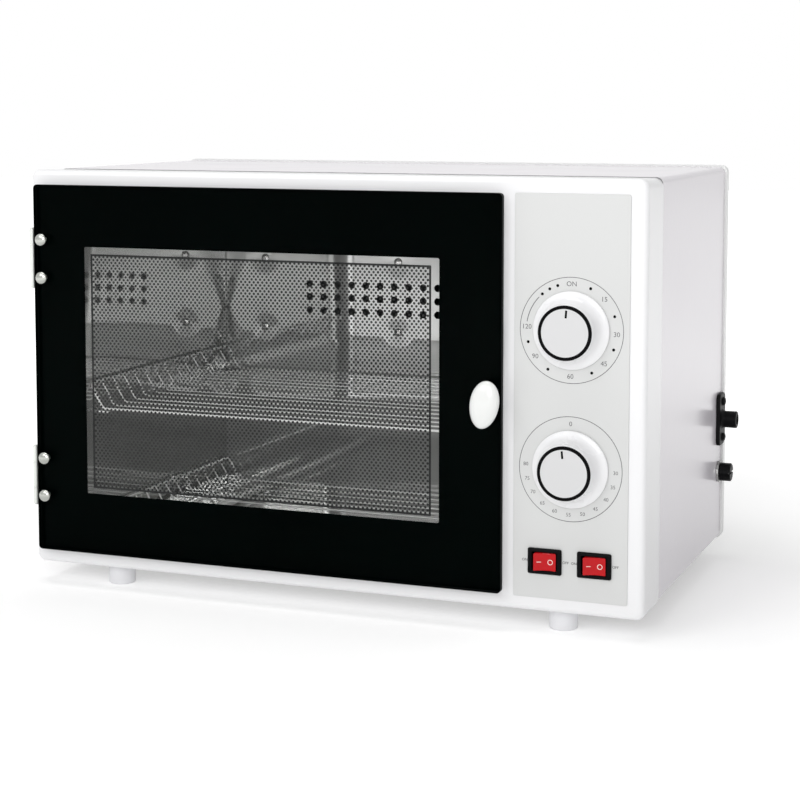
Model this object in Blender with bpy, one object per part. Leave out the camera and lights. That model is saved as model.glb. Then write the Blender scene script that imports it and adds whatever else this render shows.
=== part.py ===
"""Countertop UV sterilizer and warmer: a white cabinet with a glass door, a mirror-bright
chamber, two wire racks and a control column.

Sizes are in metres. The case frame has X to the right, Y to the back and Z up, with its zero
at the middle of the bezel's front face, level with the bezel's underside. One empty carries
the whole case frame to the part's origin.
"""
import math

import bmesh
import bpy
from mathutils import Matrix, Vector

# Fits
SEAT_GAP = 0.0003
FILM_GAP = 0.0002
RUNNING_GAP = 0.0004
CUT_OVERRUN = 0.002

# Round stretches
CORNER_STEPS = 3
EDGE_STEPS = 2
DOME_STEPS = 2
KNOB_SEGMENTS = 28
PART_SEGMENTS = 16
SMALL_SEGMENTS = 10
TINY_SEGMENTS = 8
SMOOTH_ANGLE = math.radians(32)

# Bezel frame
CASE_WIDTH = 0.450
CASE_HEIGHT = 0.284
BEZEL_DEPTH = 0.0407
BEZEL_WALL = 0.003
BEZEL_CORNER_RADIUS = 0.006
BEZEL_EDGE_RADIUS = 0.004
SHAFT_HOLE_RADIUS = 0.0045

# Cover, base and rear panel
COVER_SHEET = 0.001
COVER_SIDE_STEP = 0.0005
COVER_RAISE = 0.002
COVER_CORNER_RADIUS = 0.004
COVER_FLANGE = 0.010
COVER_JOGGLE = 0.0005
COVER_JOGGLE_LENGTH = 0.001
BASE_SHEET = 0.001
BASE_FRONT_SETBACK = 0.006
BASE_FLANGE = 0.012
BASE_VENT_LENGTH = 0.034
BASE_VENT_WIDTH = 0.004
BASE_VENT_PITCH = 0.011
BASE_VENT_COUNT = 5
REAR_SHEET = 0.001
REAR_RIM_DEPTH = 0.0074
REAR_EDGE_RADIUS = 0.0009
REAR_VENT_LENGTH = 0.058
REAR_VENT_WIDTH = 0.0034
REAR_VENT_PITCH = 0.010
REAR_VENT_COUNT = 7
REAR_SCREW_RADIUS = 0.0034
REAR_SCREW_HEIGHT = 0.0016
REAR_SCREW_INSET = 0.014

# Feet
FOOT_HEIGHT = 0.0147
FOOT_RADIUS = 0.0098
FOOT_TAPER = 0.0002
FOOT_EDGE = 0.001
FOOT_RECESS_RADIUS = 0.0034
FOOT_RECESS_DEPTH = 0.005
FOOT_SIDE_INSET = 0.059
FRONT_FOOT_SETBACK = 0.020
REAR_FOOT_INSET = 0.024

# Chamber
CHAMBER_LEFT_WALL = 0.038
CHAMBER_FLOOR = 0.012
CHAMBER_TOP_SPACE = 0.0135
CHAMBER_DEPTH = 0.2309
CHAMBER_REAR_SPACE = 0.0185
CHAMBER_SHEET = 0.0008
CHAMBER_CORNER_RADIUS = 0.003
CHAMBER_FLANGE = 0.0055
MOUTH_SIDE_LIP = 0.002
MOUTH_BOTTOM_LIP = 0.0045
MOUTH_TOP_LIP = 0.003
MOUTH_CORNER_RADIUS = 0.004
VENT_COLUMNS = 13
VENT_ROWS = 3
VENT_RADIUS = 0.003
VENT_COLUMN_PITCH = 0.0123
VENT_ROW_PITCH = 0.0107
VENT_SIDE_OFFSET = 0.0024
VENT_HEIGHT_SHARE = 0.6275
RIVET_RADIUS = 0.0034
RIVET_HEIGHT = 0.0013
RIVET_SPACING = 0.1167
RIVET_RISE = 0.0305
RIVET_DROP = 0.026
RIVET_LEFT_OFFSET = 0.036

# Wire racks and what they rest on
RACK_SIDE_CLEARANCE = 0.0038
RACK_FRONT_SETBACK = 0.0058
RACK_REAR_SPACE = 0.0043
RACK_RISE = 0.018
RACK_FLARE = 0.0098
RACK_BEND_RADIUS = 0.005
RACK_BEND_STEPS = 2
RACK_CROSS_WIRES = 13
FRAME_WIRE_RADIUS = 0.0009
CROSS_WIRE_RADIUS = 0.0006
UPPER_RACK_SHARE = 0.3927
RUNNER_RADIUS = 0.0032
RUNNER_INSET = 0.036
RUNNER_SHARE = 0.92
BRACKET_SHEET = 0.001
BRACKET_HEIGHT = 0.010
TAB_LENGTH = 0.008
TAB_REACH = 0.021

# Lamp, heater and parts inside the control column
LAMP_RADIUS = 0.0078
LAMP_END_SPACE = 0.041
LAMP_CAP_LENGTH = 0.007
LAMP_CAP_STEP = 0.0005
LAMP_DROP = 0.0135
LAMP_SETBACK = 0.120
HOLDER_THICKNESS = 0.010
HOLDER_WIDTH = 0.022
HOLDER_BELOW_LAMP = 0.010
HOLDER_CORNER_RADIUS = 0.004
HEATER_THICKNESS = 0.0022
HEATER_MARGIN = 0.038
HEATER_CORNER_RADIUS = 0.006
BALLAST_LENGTH = 0.105
BALLAST_WIDTH = 0.040
BALLAST_HEIGHT = 0.028
BALLAST_FOOT_THICKNESS = 0.0015
BALLAST_FOOT_OVERHANG = 0.012
BALLAST_REAR_SPACE = 0.0427
STARTER_RADIUS = 0.0105
STARTER_HEIGHT = 0.038
STARTER_BASE_HEIGHT = 0.008
STARTER_BASE_LIP = 0.002
STARTER_SPACE = 0.005
TIMER_BODY_SIZE = 0.046
TIMER_BODY_DEPTH = 0.034
THERMOSTAT_BODY_SIZE = 0.036
THERMOSTAT_BODY_DEPTH = 0.027
BODY_COLLAR_RADIUS = 0.009
BODY_COLLAR_DEPTH = 0.004
BODY_EDGE = 0.002

# Control column
COLUMN_WIDTH = 0.118
OVERLAY_RIGHT_MARGIN = 0.011
OVERLAY_WIDTH = 0.0766
OVERLAY_BOTTOM = 0.0096
OVERLAY_TOP_MARGIN = 0.0102
OVERLAY_THICKNESS = 0.0005
OVERLAY_CORNER_RADIUS = 0.001
TIMER_HEIGHT_SHARE = 0.6556
THERMOSTAT_HEIGHT_SHARE = 0.338
SWITCH_HEIGHT_SHARE = 0.1204
SWITCH_SPACING = 0.0332

# Knobs
KNOB_SKIRT_RADIUS = 0.0254
KNOB_RIM_HEIGHT = 0.0013
KNOB_TOP_RADIUS = 0.0177
KNOB_HEIGHT = 0.0146
KNOB_WALL = 0.0016
KNOB_HUB_RADIUS = 0.0056
KNOB_BORE_DEPTH = 0.010
KNOB_CAP_THICKNESS = 0.0009
KNOB_CAP_EDGE = 0.0003
KNOB_WAIST_SHARES = ((0.90, 0.16), (0.81, 0.27), (0.755, 0.46), (0.72, 0.74))
SHAFT_RADIUS = 0.003
SHAFT_TAIL = 0.010

# Rocker switches
SWITCH_BEZEL_WIDTH = 0.0228
SWITCH_BEZEL_HEIGHT = 0.017
SWITCH_BEZEL_THICKNESS = 0.0018
SWITCH_BEZEL_RADIUS = 0.0012
SWITCH_BEZEL_SLOPE = 0.0006
SWITCH_WALL = 0.001
SWITCH_BODY_DEPTH = 0.017
SWITCH_POCKET_DEPTH = 0.0085
ROCKER_WIDTH = 0.0146
ROCKER_HEIGHT = 0.0114
ROCKER_SIDE_GAP = 0.001
ROCKER_END_GAP = 0.0004
ROCKER_CREST = 0.0046
ROCKER_DIP = 0.0014
ROCKER_KEEL = 0.0046
ROCKER_TILT = math.radians(10)
ROCKER_STEPS = 5

# Door
DOOR_LEFT_MARGIN = 0.0042
DOOR_RIGHT_MARGIN = 0.0941
DOOR_BOTTOM = 0.0114
DOOR_TOP_MARGIN = 0.0101
DOOR_CORNER_RADIUS = 0.003
GLASS_THICKNESS = 0.0044
GLASS_EDGE = 0.0005
PRINT_THICKNESS = 0.0003
PRINT_INSET = 0.0006
WINDOW_LEFT_BORDER = 0.0408
WINDOW_RIGHT_BORDER = 0.0444
WINDOW_BOTTOM_BORDER = 0.0425
WINDOW_TOP_BORDER = 0.0437
WINDOW_CORNER_RADIUS = 0.0012
GASKET_THICKNESS = 0.0025
GASKET_WIDTH = 0.0048
HANDLE_LENGTH = 0.0318
HANDLE_WIDTH = 0.0207
HANDLE_REACH = 0.014
HANDLE_TILT = math.radians(-14)
HANDLE_RIGHT_INSET = 0.0085
HANDLE_HEIGHT = 0.1373
HANDLE_SEGMENTS = 20
HANDLE_SECTION_SHARES = ((0.0, 0.62), (0.18, 0.66), (0.40, 0.86), (0.58, 0.985), (0.70, 1.0),
                         (0.82, 0.93), (0.92, 0.76), (0.98, 0.50))
HANDLE_SKEW_SHARE = 0.05
HANDLE_SCREW_RADIUS = 0.0018
HANDLE_SCREW_DEPTH = 0.009
HANDLE_SCREW_HEAD_RADIUS = 0.004
HANDLE_SCREW_HEAD_HEIGHT = 0.0016
MAGNET_WIDTH = 0.014
MAGNET_HEIGHT = 0.022
MAGNET_EDGE = 0.0004
MAGNET_LIFT = 0.040
STRIKE_RADIUS = 0.006
STRIKE_THICKNESS = 0.0008

# Hinges
HINGE_LENGTH = 0.0418
HINGE_END_SPACE = 0.05275
HINGE_LEAF_THICKNESS = 0.0008
HINGE_LEAF_REACH = 0.0142
HINGE_BARREL_RADIUS = 0.0019
HINGE_PIN_RADIUS = 0.0008
HINGE_BORE_CLEARANCE = 0.00025
HINGE_PIN_HEAD_RADIUS = 0.0015
HINGE_PIN_HEAD_HEIGHT = 0.0006
HINGE_MIDDLE_SHARE = 0.44
HINGE_SCREW_SPACING = 0.0272
HINGE_SCREW_INSET = 0.0086
HINGE_SCREW_HEAD_RADIUS = 0.0045
HINGE_SCREW_HEAD_HEIGHT = 0.0026
HINGE_SCREW_SHANK_RADIUS = 0.0015
HINGE_SCREW_CLEARANCE = 0.0004

# Mains inlet on the right side
FITTING_REAR_INSET = 0.0187
GLAND_HEIGHT = 0.0946
GLAND_PLATE_THICKNESS = 0.0028
GLAND_PLATE_WIDTH = 0.020
GLAND_PLATE_LENGTH = 0.039
GLAND_PLATE_RADIUS = 0.005
GLAND_NOZZLE_RADIUS = 0.0064
GLAND_NOZZLE_LENGTH = 0.011
GLAND_NECK_LENGTH = 0.010
GLAND_BORE_RADIUS = 0.0035
GLAND_EDGE = 0.0008
GLAND_SCREW_SPACING = 0.027
GLAND_SCREW_HEAD_RADIUS = 0.0035
GLAND_SCREW_HEAD_HEIGHT = 0.0022
GLAND_SCREW_SHANK_RADIUS = 0.0014
GLAND_SCREW_LENGTH = 0.008
FUSE_HEIGHT = 0.0544
FUSE_FLANGE_RADIUS = 0.008
FUSE_FLANGE_THICKNESS = 0.0014
FUSE_BODY_RADIUS = 0.006
FUSE_BODY_LENGTH = 0.026
FUSE_BORE_RADIUS = 0.0048
FUSE_BORE_LENGTH = 0.020
FUSE_CAP_RADIUS = 0.0069
FUSE_CAP_LENGTH = 0.0084
FUSE_CAP_EDGE = 0.0008
FUSE_PLUG_LENGTH = 0.014
FUSE_SLOT_WIDTH = 0.0016
FUSE_SLOT_DEPTH = 0.0012

# Case frame planes and centres
HALF_WIDTH = CASE_WIDTH / 2
CHAMBER_FRONT = BEZEL_WALL + SEAT_GAP
CHAMBER_REAR = CHAMBER_FRONT + CHAMBER_DEPTH
CASE_DEPTH = CHAMBER_REAR + CHAMBER_REAR_SPACE
COVER_HALF = HALF_WIDTH - COVER_SIDE_STEP
COVER_TOP = CASE_HEIGHT - COVER_SIDE_STEP
COVER_REAR = CASE_DEPTH - SEAT_GAP
REAR_FACE = CASE_DEPTH + REAR_SHEET
BASE_BOTTOM = COVER_RAISE + COVER_SHEET + SEAT_GAP
BASE_TOP = BASE_BOTTOM + BASE_SHEET
FOOT_SPREAD = CASE_WIDTH - 2 * FOOT_SIDE_INSET
CHAMBER_LEFT = CHAMBER_LEFT_WALL - HALF_WIDTH
CHAMBER_RIGHT = HALF_WIDTH - COLUMN_WIDTH
CHAMBER_MIDDLE = (CHAMBER_LEFT + CHAMBER_RIGHT) / 2
CHAMBER_TOP = CASE_HEIGHT - CHAMBER_TOP_SPACE
CHAMBER_HEIGHT = CHAMBER_TOP - CHAMBER_FLOOR
VENT_MIDDLE_HEIGHT = CHAMBER_FLOOR + CHAMBER_HEIGHT * VENT_HEIGHT_SHARE
UPPER_RACK_HEIGHT = CHAMBER_FLOOR + CHAMBER_HEIGHT * UPPER_RACK_SHARE
RACK_LENGTH = CHAMBER_DEPTH - RACK_FRONT_SETBACK - RACK_REAR_SPACE
LAMP_LENGTH = CHAMBER_RIGHT - CHAMBER_LEFT - 2 * LAMP_END_SPACE
BALLAST_FRONT = CASE_DEPTH - BALLAST_REAR_SPACE - BALLAST_LENGTH
MOUTH_LEFT = CHAMBER_LEFT + MOUTH_SIDE_LIP
MOUTH_RIGHT = CHAMBER_RIGHT - MOUTH_SIDE_LIP
MOUTH_BOTTOM = CHAMBER_FLOOR + MOUTH_BOTTOM_LIP
MOUTH_TOP = CHAMBER_TOP - MOUTH_TOP_LIP
OVERLAY_RIGHT = HALF_WIDTH - OVERLAY_RIGHT_MARGIN
OVERLAY_LEFT = OVERLAY_RIGHT - OVERLAY_WIDTH
OVERLAY_TOP = CASE_HEIGHT - OVERLAY_TOP_MARGIN
OVERLAY_FRONT = -SEAT_GAP - OVERLAY_THICKNESS
DIAL_X = (OVERLAY_LEFT + OVERLAY_RIGHT) / 2
TIMER_HEIGHT = CASE_HEIGHT * TIMER_HEIGHT_SHARE
THERMOSTAT_HEIGHT = CASE_HEIGHT * THERMOSTAT_HEIGHT_SHARE
SWITCH_HEIGHT = CASE_HEIGHT * SWITCH_HEIGHT_SHARE
DOOR_LEFT = DOOR_LEFT_MARGIN - HALF_WIDTH
DOOR_RIGHT = HALF_WIDTH - DOOR_RIGHT_MARGIN
DOOR_TOP = CASE_HEIGHT - DOOR_TOP_MARGIN
DOOR_MIDDLE = (DOOR_BOTTOM + DOOR_TOP) / 2
HINGE_SPREAD = DOOR_TOP - DOOR_BOTTOM - 2 * HINGE_END_SPACE
PRINT_BACK = -SEAT_GAP - GASKET_THICKNESS - SEAT_GAP
PRINT_FRONT = PRINT_BACK - PRINT_THICKNESS
GLASS_BACK = PRINT_FRONT - FILM_GAP
GLASS_FRONT = GLASS_BACK - GLASS_THICKNESS
HANDLE_X = DOOR_RIGHT - HANDLE_RIGHT_INSET
HINGE_LEAF_FRONT = PRINT_BACK + FILM_GAP
HINGE_AXIS_X = DOOR_LEFT - RUNNING_GAP - HINGE_BARREL_RADIUS
HINGE_AXIS_Y = HINGE_LEAF_FRONT + HINGE_LEAF_THICKNESS / 2
HINGE_AXIS = (HINGE_AXIS_X, HINGE_AXIS_Y, DOOR_MIDDLE)
LOWER_RACK_HEIGHT = (CHAMBER_FLOOR + SEAT_GAP + RUNNER_RADIUS + RUNNER_RADIUS + SEAT_GAP
                     + FRAME_WIRE_RADIUS)
FITTING_Y = CASE_DEPTH - FITTING_REAR_INSET
RIGHT_REACH = COVER_HALF + SEAT_GAP + GLAND_PLATE_THICKNESS + GLAND_NOZZLE_LENGTH
LEFT_REACH = COVER_HALF + SEAT_GAP + REAR_SHEET
FRONT_REACH = -GLASS_FRONT + SEAT_GAP + HANDLE_REACH
REAR_REACH = REAR_FACE + REAR_SCREW_HEIGHT
KNOB_BASE = -OVERLAY_FRONT + RUNNING_GAP
KNOB_FACE = KNOB_BASE + KNOB_HEIGHT


def material(name, colour, roughness, metallic=0.0, transmission=0.0):
    """A Principled surface of one colour."""
    made = bpy.data.materials.new(name)
    made.use_nodes = True
    shader = made.node_tree.nodes["Principled BSDF"]
    shader.inputs["Base Color"].default_value = (*colour, 1.0)
    shader.inputs["Roughness"].default_value = roughness
    shader.inputs["Metallic"].default_value = metallic
    shader.inputs["Transmission Weight"].default_value = transmission
    made.diffuse_color = (*colour, 1.0)
    return made


def make_materials():
    """Every finish on the product, by name."""
    return {
        "white_enamel": material("white_enamel", (0.86, 0.86, 0.88), 0.25),
        "white_plastic": material("white_plastic", (0.84, 0.84, 0.85), 0.35),
        "grey_print": material("grey_print", (0.70, 0.71, 0.71), 0.45),
        "grey_cap": material("grey_cap", (0.68, 0.69, 0.69), 0.40),
        "black_print": material("black_print", (0.008, 0.008, 0.009), 0.15),
        "black_plastic": material("black_plastic", (0.012, 0.012, 0.012), 0.35),
        "black_rubber": material("black_rubber", (0.02, 0.02, 0.02), 0.80),
        "red_rocker": material("red_rocker", (0.60, 0.01, 0.015), 0.22),
        "clear_glass": material("clear_glass", (0.90, 0.93, 0.92), 0.03, 0.0, 1.0),
        "lamp_glass": material("lamp_glass", (0.80, 0.86, 0.92), 0.08, 0.0, 0.6),
        "mirror_steel": material("mirror_steel", (0.78, 0.78, 0.77), 0.12, 1.0),
        "wire_chrome": material("wire_chrome", (0.80, 0.80, 0.80), 0.15, 1.0),
        "hinge_steel": material("hinge_steel", (0.66, 0.68, 0.65), 0.30, 1.0),
        "zinc_steel": material("zinc_steel", (0.55, 0.55, 0.54), 0.40, 1.0),
        "heater_foil": material("heater_foil", (0.72, 0.70, 0.66), 0.35, 1.0),
        "starter_white": material("starter_white", (0.75, 0.75, 0.72), 0.50),
        "brown_phenolic": material("brown_phenolic", (0.10, 0.055, 0.035), 0.50),
    }


def place(axis, along, first, second):
    """A point from its distance along an axis and its two coordinates across it."""
    if axis == "X":
        return Vector((along, first, second))
    if axis == "Y":
        return Vector((first, along, second))
    return Vector((first, second, along))


def rounded_rectangle(low, high, radius, steps=CORNER_STEPS):
    """Outline of a rectangle with round corners, from its low and high corner."""
    corners = (
        (high[0] - radius, low[1] + radius, -90),
        (high[0] - radius, high[1] - radius, 0),
        (low[0] + radius, high[1] - radius, 90),
        (low[0] + radius, low[1] + radius, 180),
    )
    outline = []
    for centre_x, centre_z, start in corners:
        for step in range(steps + 1):
            turn = math.radians(start + 90 * step / steps)
            outline.append((centre_x + radius * math.cos(turn), centre_z + radius * math.sin(turn)))
    return outline


def inset_rectangle(low, high, inset, radius, steps=CORNER_STEPS):
    """The same outline drawn in by an inset, with its corners drawn in alike."""
    return rounded_rectangle((low[0] + inset, low[1] + inset), (high[0] - inset, high[1] - inset),
                             radius, steps)


def loop_at(axis, along, outline):
    """An outline laid across an axis at one distance along it."""
    return [place(axis, along, first, second) for first, second in outline]


def add_loft(mesh, loops, closed=False):
    """Skin through loops of points; its ends are capped, or joined where it is closed."""
    rows = [[mesh.verts.new(point) for point in loop] for loop in loops]
    pairs = list(zip(rows, rows[1:]))
    if closed:
        pairs.append((rows[-1], rows[0]))
    for near, far in pairs:
        count = max(len(near), len(far))
        for index in range(count):
            following = (index + 1) % count
            corners = (near[index % len(near)], near[following % len(near)],
                       far[following % len(far)], far[index % len(far)])
            mesh.faces.new(dict.fromkeys(corners))
    if not closed:
        for row in (rows[0], rows[-1]):
            if len(row) > 2:
                mesh.faces.new(row)


def add_prism(mesh, axis, outline, start, end):
    """An outline pushed along an axis."""
    add_loft(mesh, [loop_at(axis, start, outline), loop_at(axis, end, outline)])


def add_box(mesh, low, high):
    """A plain block between two corners."""
    outline = [(low[0], low[1]), (high[0], low[1]), (high[0], high[1]), (low[0], high[1])]
    add_prism(mesh, "Z", outline, low[2], high[2])


def circle(centre, radius, segments):
    """Points of a circle."""
    turns = [math.tau * index / segments for index in range(segments)]
    return [(centre[0] + radius * math.cos(turn), centre[1] + radius * math.sin(turn))
            for turn in turns]


def add_turned(mesh, axis, centre, profile, segments, closed=False):
    """A profile of radius and distance along an axis, turned about that axis."""
    loops = []
    for radius, along in profile:
        outline = circle(centre, radius, segments) if radius else [centre]
        loops.append(loop_at(axis, along, outline))
    add_loft(mesh, loops, closed)


def add_rod(mesh, axis, centre, radius, start, end, segments=SMALL_SEGMENTS):
    """A plain round bar."""
    add_turned(mesh, axis, centre, ((0, start), (radius, start), (radius, end), (0, end)), segments)


def dome_profile(radius, seat, crown, direction, steps=DOME_STEPS):
    """Profile of a domed screw head, from its seat edge to its crown on the axis."""
    profile = []
    for step in range(steps):
        turn = math.radians(90 * step / steps)
        profile.append((radius * math.cos(turn), seat + direction * crown * math.sin(turn)))
    profile.append((0, seat + direction * crown))
    return profile


def slot(centre, length, width, steps=2):
    """Outline of a slot with round ends, lengthways along its first coordinate."""
    low = (centre[0] - length / 2, centre[1] - width / 2)
    high = (centre[0] + length / 2, centre[1] + width / 2)
    return rounded_rectangle(low, high, width / 2 - FILM_GAP, steps)


def rounded_path(corners, radius, steps, closed):
    """A route through corners with each bend made round."""
    count = len(corners)
    path = []
    for index, corner in enumerate(corners):
        if not closed and index in (0, count - 1):
            path.append(corner)
            continue
        before = (corners[index - 1] - corner).normalized()
        after = (corners[(index + 1) % count] - corner).normalized()
        half = before.angle(after) / 2
        reach = radius / math.tan(half)
        centre = corner + (before + after).normalized() * radius / math.sin(half)
        start = corner + before * reach - centre
        end = corner + after * reach - centre
        sweep = start.angle(end)
        normal = start.cross(end).normalized()
        for step in range(steps + 1):
            turned = start.copy()
            turned.rotate(Matrix.Rotation(sweep * step / steps, 3, normal))
            path.append(centre + turned)
    return path


def add_wire(mesh, path, radius, closed, resolution):
    """A round wire along a path, made as a bevelled curve."""
    curve = bpy.data.curves.new("wire_path", "CURVE")
    curve.dimensions = "3D"
    curve.bevel_depth = radius
    curve.bevel_resolution = resolution
    curve.use_fill_caps = not closed
    spline = curve.splines.new("POLY")
    spline.points.add(len(path) - 1)
    for point, position in zip(spline.points, path):
        point.co = (*position, 1.0)
    spline.use_cyclic_u = closed
    carrier = bpy.data.objects.new("wire_path", curve)
    bpy.context.scene.collection.objects.link(carrier)
    shape = bpy.data.meshes.new_from_object(carrier)
    mesh.from_mesh(shape)
    bpy.data.objects.remove(carrier)
    bpy.data.curves.remove(curve)
    bpy.data.meshes.remove(shape)


class Builder:
    """Turns finished meshes into the part's named objects under the case empty."""

    def __init__(self):
        self.materials = make_materials()
        self.root = bpy.data.objects.new("uv_sterilizer", None)
        bpy.context.scene.collection.objects.link(self.root)
        shift_x = (LEFT_REACH - RIGHT_REACH) / 2
        shift_y = (FRONT_REACH - REAR_REACH) / 2
        self.root.location = (shift_x, shift_y, FOOT_HEIGHT)

    def link(self, name, mesh, origin):
        """An object whose mesh was drawn in the case frame, hung at its own origin."""
        bmesh.ops.recalc_face_normals(mesh, faces=mesh.faces)
        data = bpy.data.meshes.new(name)
        mesh.to_mesh(data)
        mesh.free()
        data.transform(Matrix.Translation(-Vector(origin)))
        made = bpy.data.objects.new(name, data)
        bpy.context.scene.collection.objects.link(made)
        made.parent = self.root
        made.location = origin
        return made

    def piece(self, name, mesh, finish, origin=(0, 0, 0), smooth=True):
        """One named sub-part."""
        made = self.link(name, mesh, origin)
        made.data.materials.append(self.materials[finish])
        if smooth:
            made.data.shade_smooth()
            made.data.set_sharp_from_angle(angle=SMOOTH_ANGLE)
        return made

    def tool(self, target, mesh, operation="DIFFERENCE"):
        """A hidden shape that cuts a piece or is joined to it."""
        name = f"{target.name}_{operation.lower()}_{len(target.modifiers)}"
        shape = self.link(name, mesh, (0, 0, 0))
        shape.hide_render = True
        shape.display_type = "WIRE"
        boolean = target.modifiers.new(name, "BOOLEAN")
        boolean.solver = "EXACT"
        boolean.operation = operation
        boolean.object = shape
        if operation == "UNION":
            shape.data.materials.append(target.data.materials[0])


def bezel_frame(builder):
    """Deep white bezel: a front wall and a skirt that wraps back over the cover."""
    low = (-HALF_WIDTH, 0)
    high = (HALF_WIDTH, CASE_HEIGHT)
    inner_radius = BEZEL_CORNER_RADIUS - BEZEL_WALL
    inside = inset_rectangle(low, high, BEZEL_WALL, inner_radius)
    outside = rounded_rectangle(low, high, BEZEL_CORNER_RADIUS)
    loops = [loop_at("Y", BEZEL_WALL, inside), loop_at("Y", BEZEL_DEPTH, inside),
             loop_at("Y", BEZEL_DEPTH, outside)]
    for step in range(EDGE_STEPS + 1):
        turn = math.radians(90 * step / EDGE_STEPS)
        inset = BEZEL_EDGE_RADIUS * (1 - math.cos(turn))
        outline = inset_rectangle(low, high, inset, BEZEL_CORNER_RADIUS - inset)
        loops.append(loop_at("Y", BEZEL_EDGE_RADIUS * (1 - math.sin(turn)), outline))
    mesh = bmesh.new()
    add_loft(mesh, loops)
    frame = builder.piece("front_frame", mesh, "white_plastic")
    cuts = bmesh.new()
    mouth = rounded_rectangle((MOUTH_LEFT, MOUTH_BOTTOM), (MOUTH_RIGHT, MOUTH_TOP),
                              MOUTH_CORNER_RADIUS)
    add_prism(cuts, "Y", mouth, -CUT_OVERRUN, BEZEL_WALL + CUT_OVERRUN)
    add_control_holes(cuts, -CUT_OVERRUN, BEZEL_WALL + CUT_OVERRUN)
    builder.tool(frame, cuts)


def switch_centres():
    """Where the two rocker switches stand."""
    return {
        "uv": (DIAL_X - SWITCH_SPACING / 2, SWITCH_HEIGHT),
        "warmer": (DIAL_X + SWITCH_SPACING / 2, SWITCH_HEIGHT),
    }


def add_control_holes(mesh, start, end):
    """Two shaft holes and two switch cut-outs, through the bezel or the overlay."""
    for height in (TIMER_HEIGHT, THERMOSTAT_HEIGHT):
        add_rod(mesh, "Y", (DIAL_X, height), SHAFT_HOLE_RADIUS, start, end, PART_SEGMENTS)
    half_width = ROCKER_WIDTH / 2 + ROCKER_SIDE_GAP + SWITCH_WALL + SEAT_GAP
    half_height = ROCKER_HEIGHT / 2 + ROCKER_END_GAP + SWITCH_WALL + SEAT_GAP
    for centre_x, centre_z in switch_centres().values():
        outline = rounded_rectangle((centre_x - half_width, centre_z - half_height),
                                    (centre_x + half_width, centre_z + half_height),
                                    SWITCH_WALL, 1)
        add_prism(mesh, "Y", outline, start, end)


def outer_cover(builder):
    """Folded sheet over the top and both sides, feet turned in, stepped in under the rear rim."""
    def contour(offset, drop):
        side = COVER_HALF - offset - drop
        top = COVER_TOP - offset - drop
        bottom = COVER_RAISE + offset
        flange = COVER_HALF - COVER_FLANGE
        radius = COVER_CORNER_RADIUS - offset
        bends = rounded_rectangle((-side, bottom), (side, top), radius)
        half = 2 * (CORNER_STEPS + 1)
        right_up = bends[:half]
        left_down = bends[half:]
        return [(flange, bottom), *right_up, *left_down, (-flange, bottom)]

    rim = CASE_DEPTH - REAR_RIM_DEPTH
    stations = [(BEZEL_DEPTH + SEAT_GAP, 0), (rim - COVER_JOGGLE_LENGTH, 0),
                (rim - SEAT_GAP, COVER_JOGGLE), (COVER_REAR, COVER_JOGGLE)]
    path = [(depth, contour(0, drop)) for depth, drop in stations]
    path += [(depth, contour(COVER_SHEET, drop)) for depth, drop in reversed(stations)]
    count = len(contour(0, 0))
    ring = [[place("Y", depth, *points[index]) for depth, points in path] for index in range(count)]
    mesh = bmesh.new()
    add_loft(mesh, ring)
    cover = builder.piece("outer_cover", mesh, "white_enamel")
    cuts = bmesh.new()
    start = COVER_HALF - COVER_SHEET - CUT_OVERRUN
    end = COVER_HALF + CUT_OVERRUN
    add_rod(cuts, "X", (FITTING_Y, GLAND_HEIGHT), GLAND_NOZZLE_RADIUS + SEAT_GAP, start, end,
            PART_SEGMENTS)
    add_rod(cuts, "X", (FITTING_Y, FUSE_HEIGHT), FUSE_BODY_RADIUS + SEAT_GAP, start, end,
            PART_SEGMENTS)
    for height in gland_screw_heights():
        add_rod(cuts, "X", (FITTING_Y, height), GLAND_SCREW_SHANK_RADIUS + SEAT_GAP, start, end)
    builder.tool(cover, cuts)


def base_plate(builder):
    """Floor sheet with a rear flange, and a row of vents under the control column."""
    half = HALF_WIDTH - BEZEL_CORNER_RADIUS - SEAT_GAP
    rear = COVER_REAR - SEAT_GAP
    side = [(BASE_FRONT_SETBACK, BASE_BOTTOM), (rear, BASE_BOTTOM),
            (rear, BASE_BOTTOM + BASE_FLANGE), (rear - BASE_SHEET, BASE_BOTTOM + BASE_FLANGE),
            (rear - BASE_SHEET, BASE_TOP), (BASE_FRONT_SETBACK, BASE_TOP)]
    mesh = bmesh.new()
    add_prism(mesh, "X", side, -half, half)
    plate = builder.piece("base_plate", mesh, "zinc_steel", smooth=False)
    cuts = bmesh.new()
    for index in range(BASE_VENT_COUNT):
        centre_y = BEZEL_DEPTH + BASE_VENT_PITCH * (index + 1)
        outline = slot((DIAL_X, centre_y), BASE_VENT_LENGTH, BASE_VENT_WIDTH)
        add_prism(cuts, "Z", outline, BASE_BOTTOM - CUT_OVERRUN, BASE_TOP + CUT_OVERRUN)
    builder.tool(plate, cuts)


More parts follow.
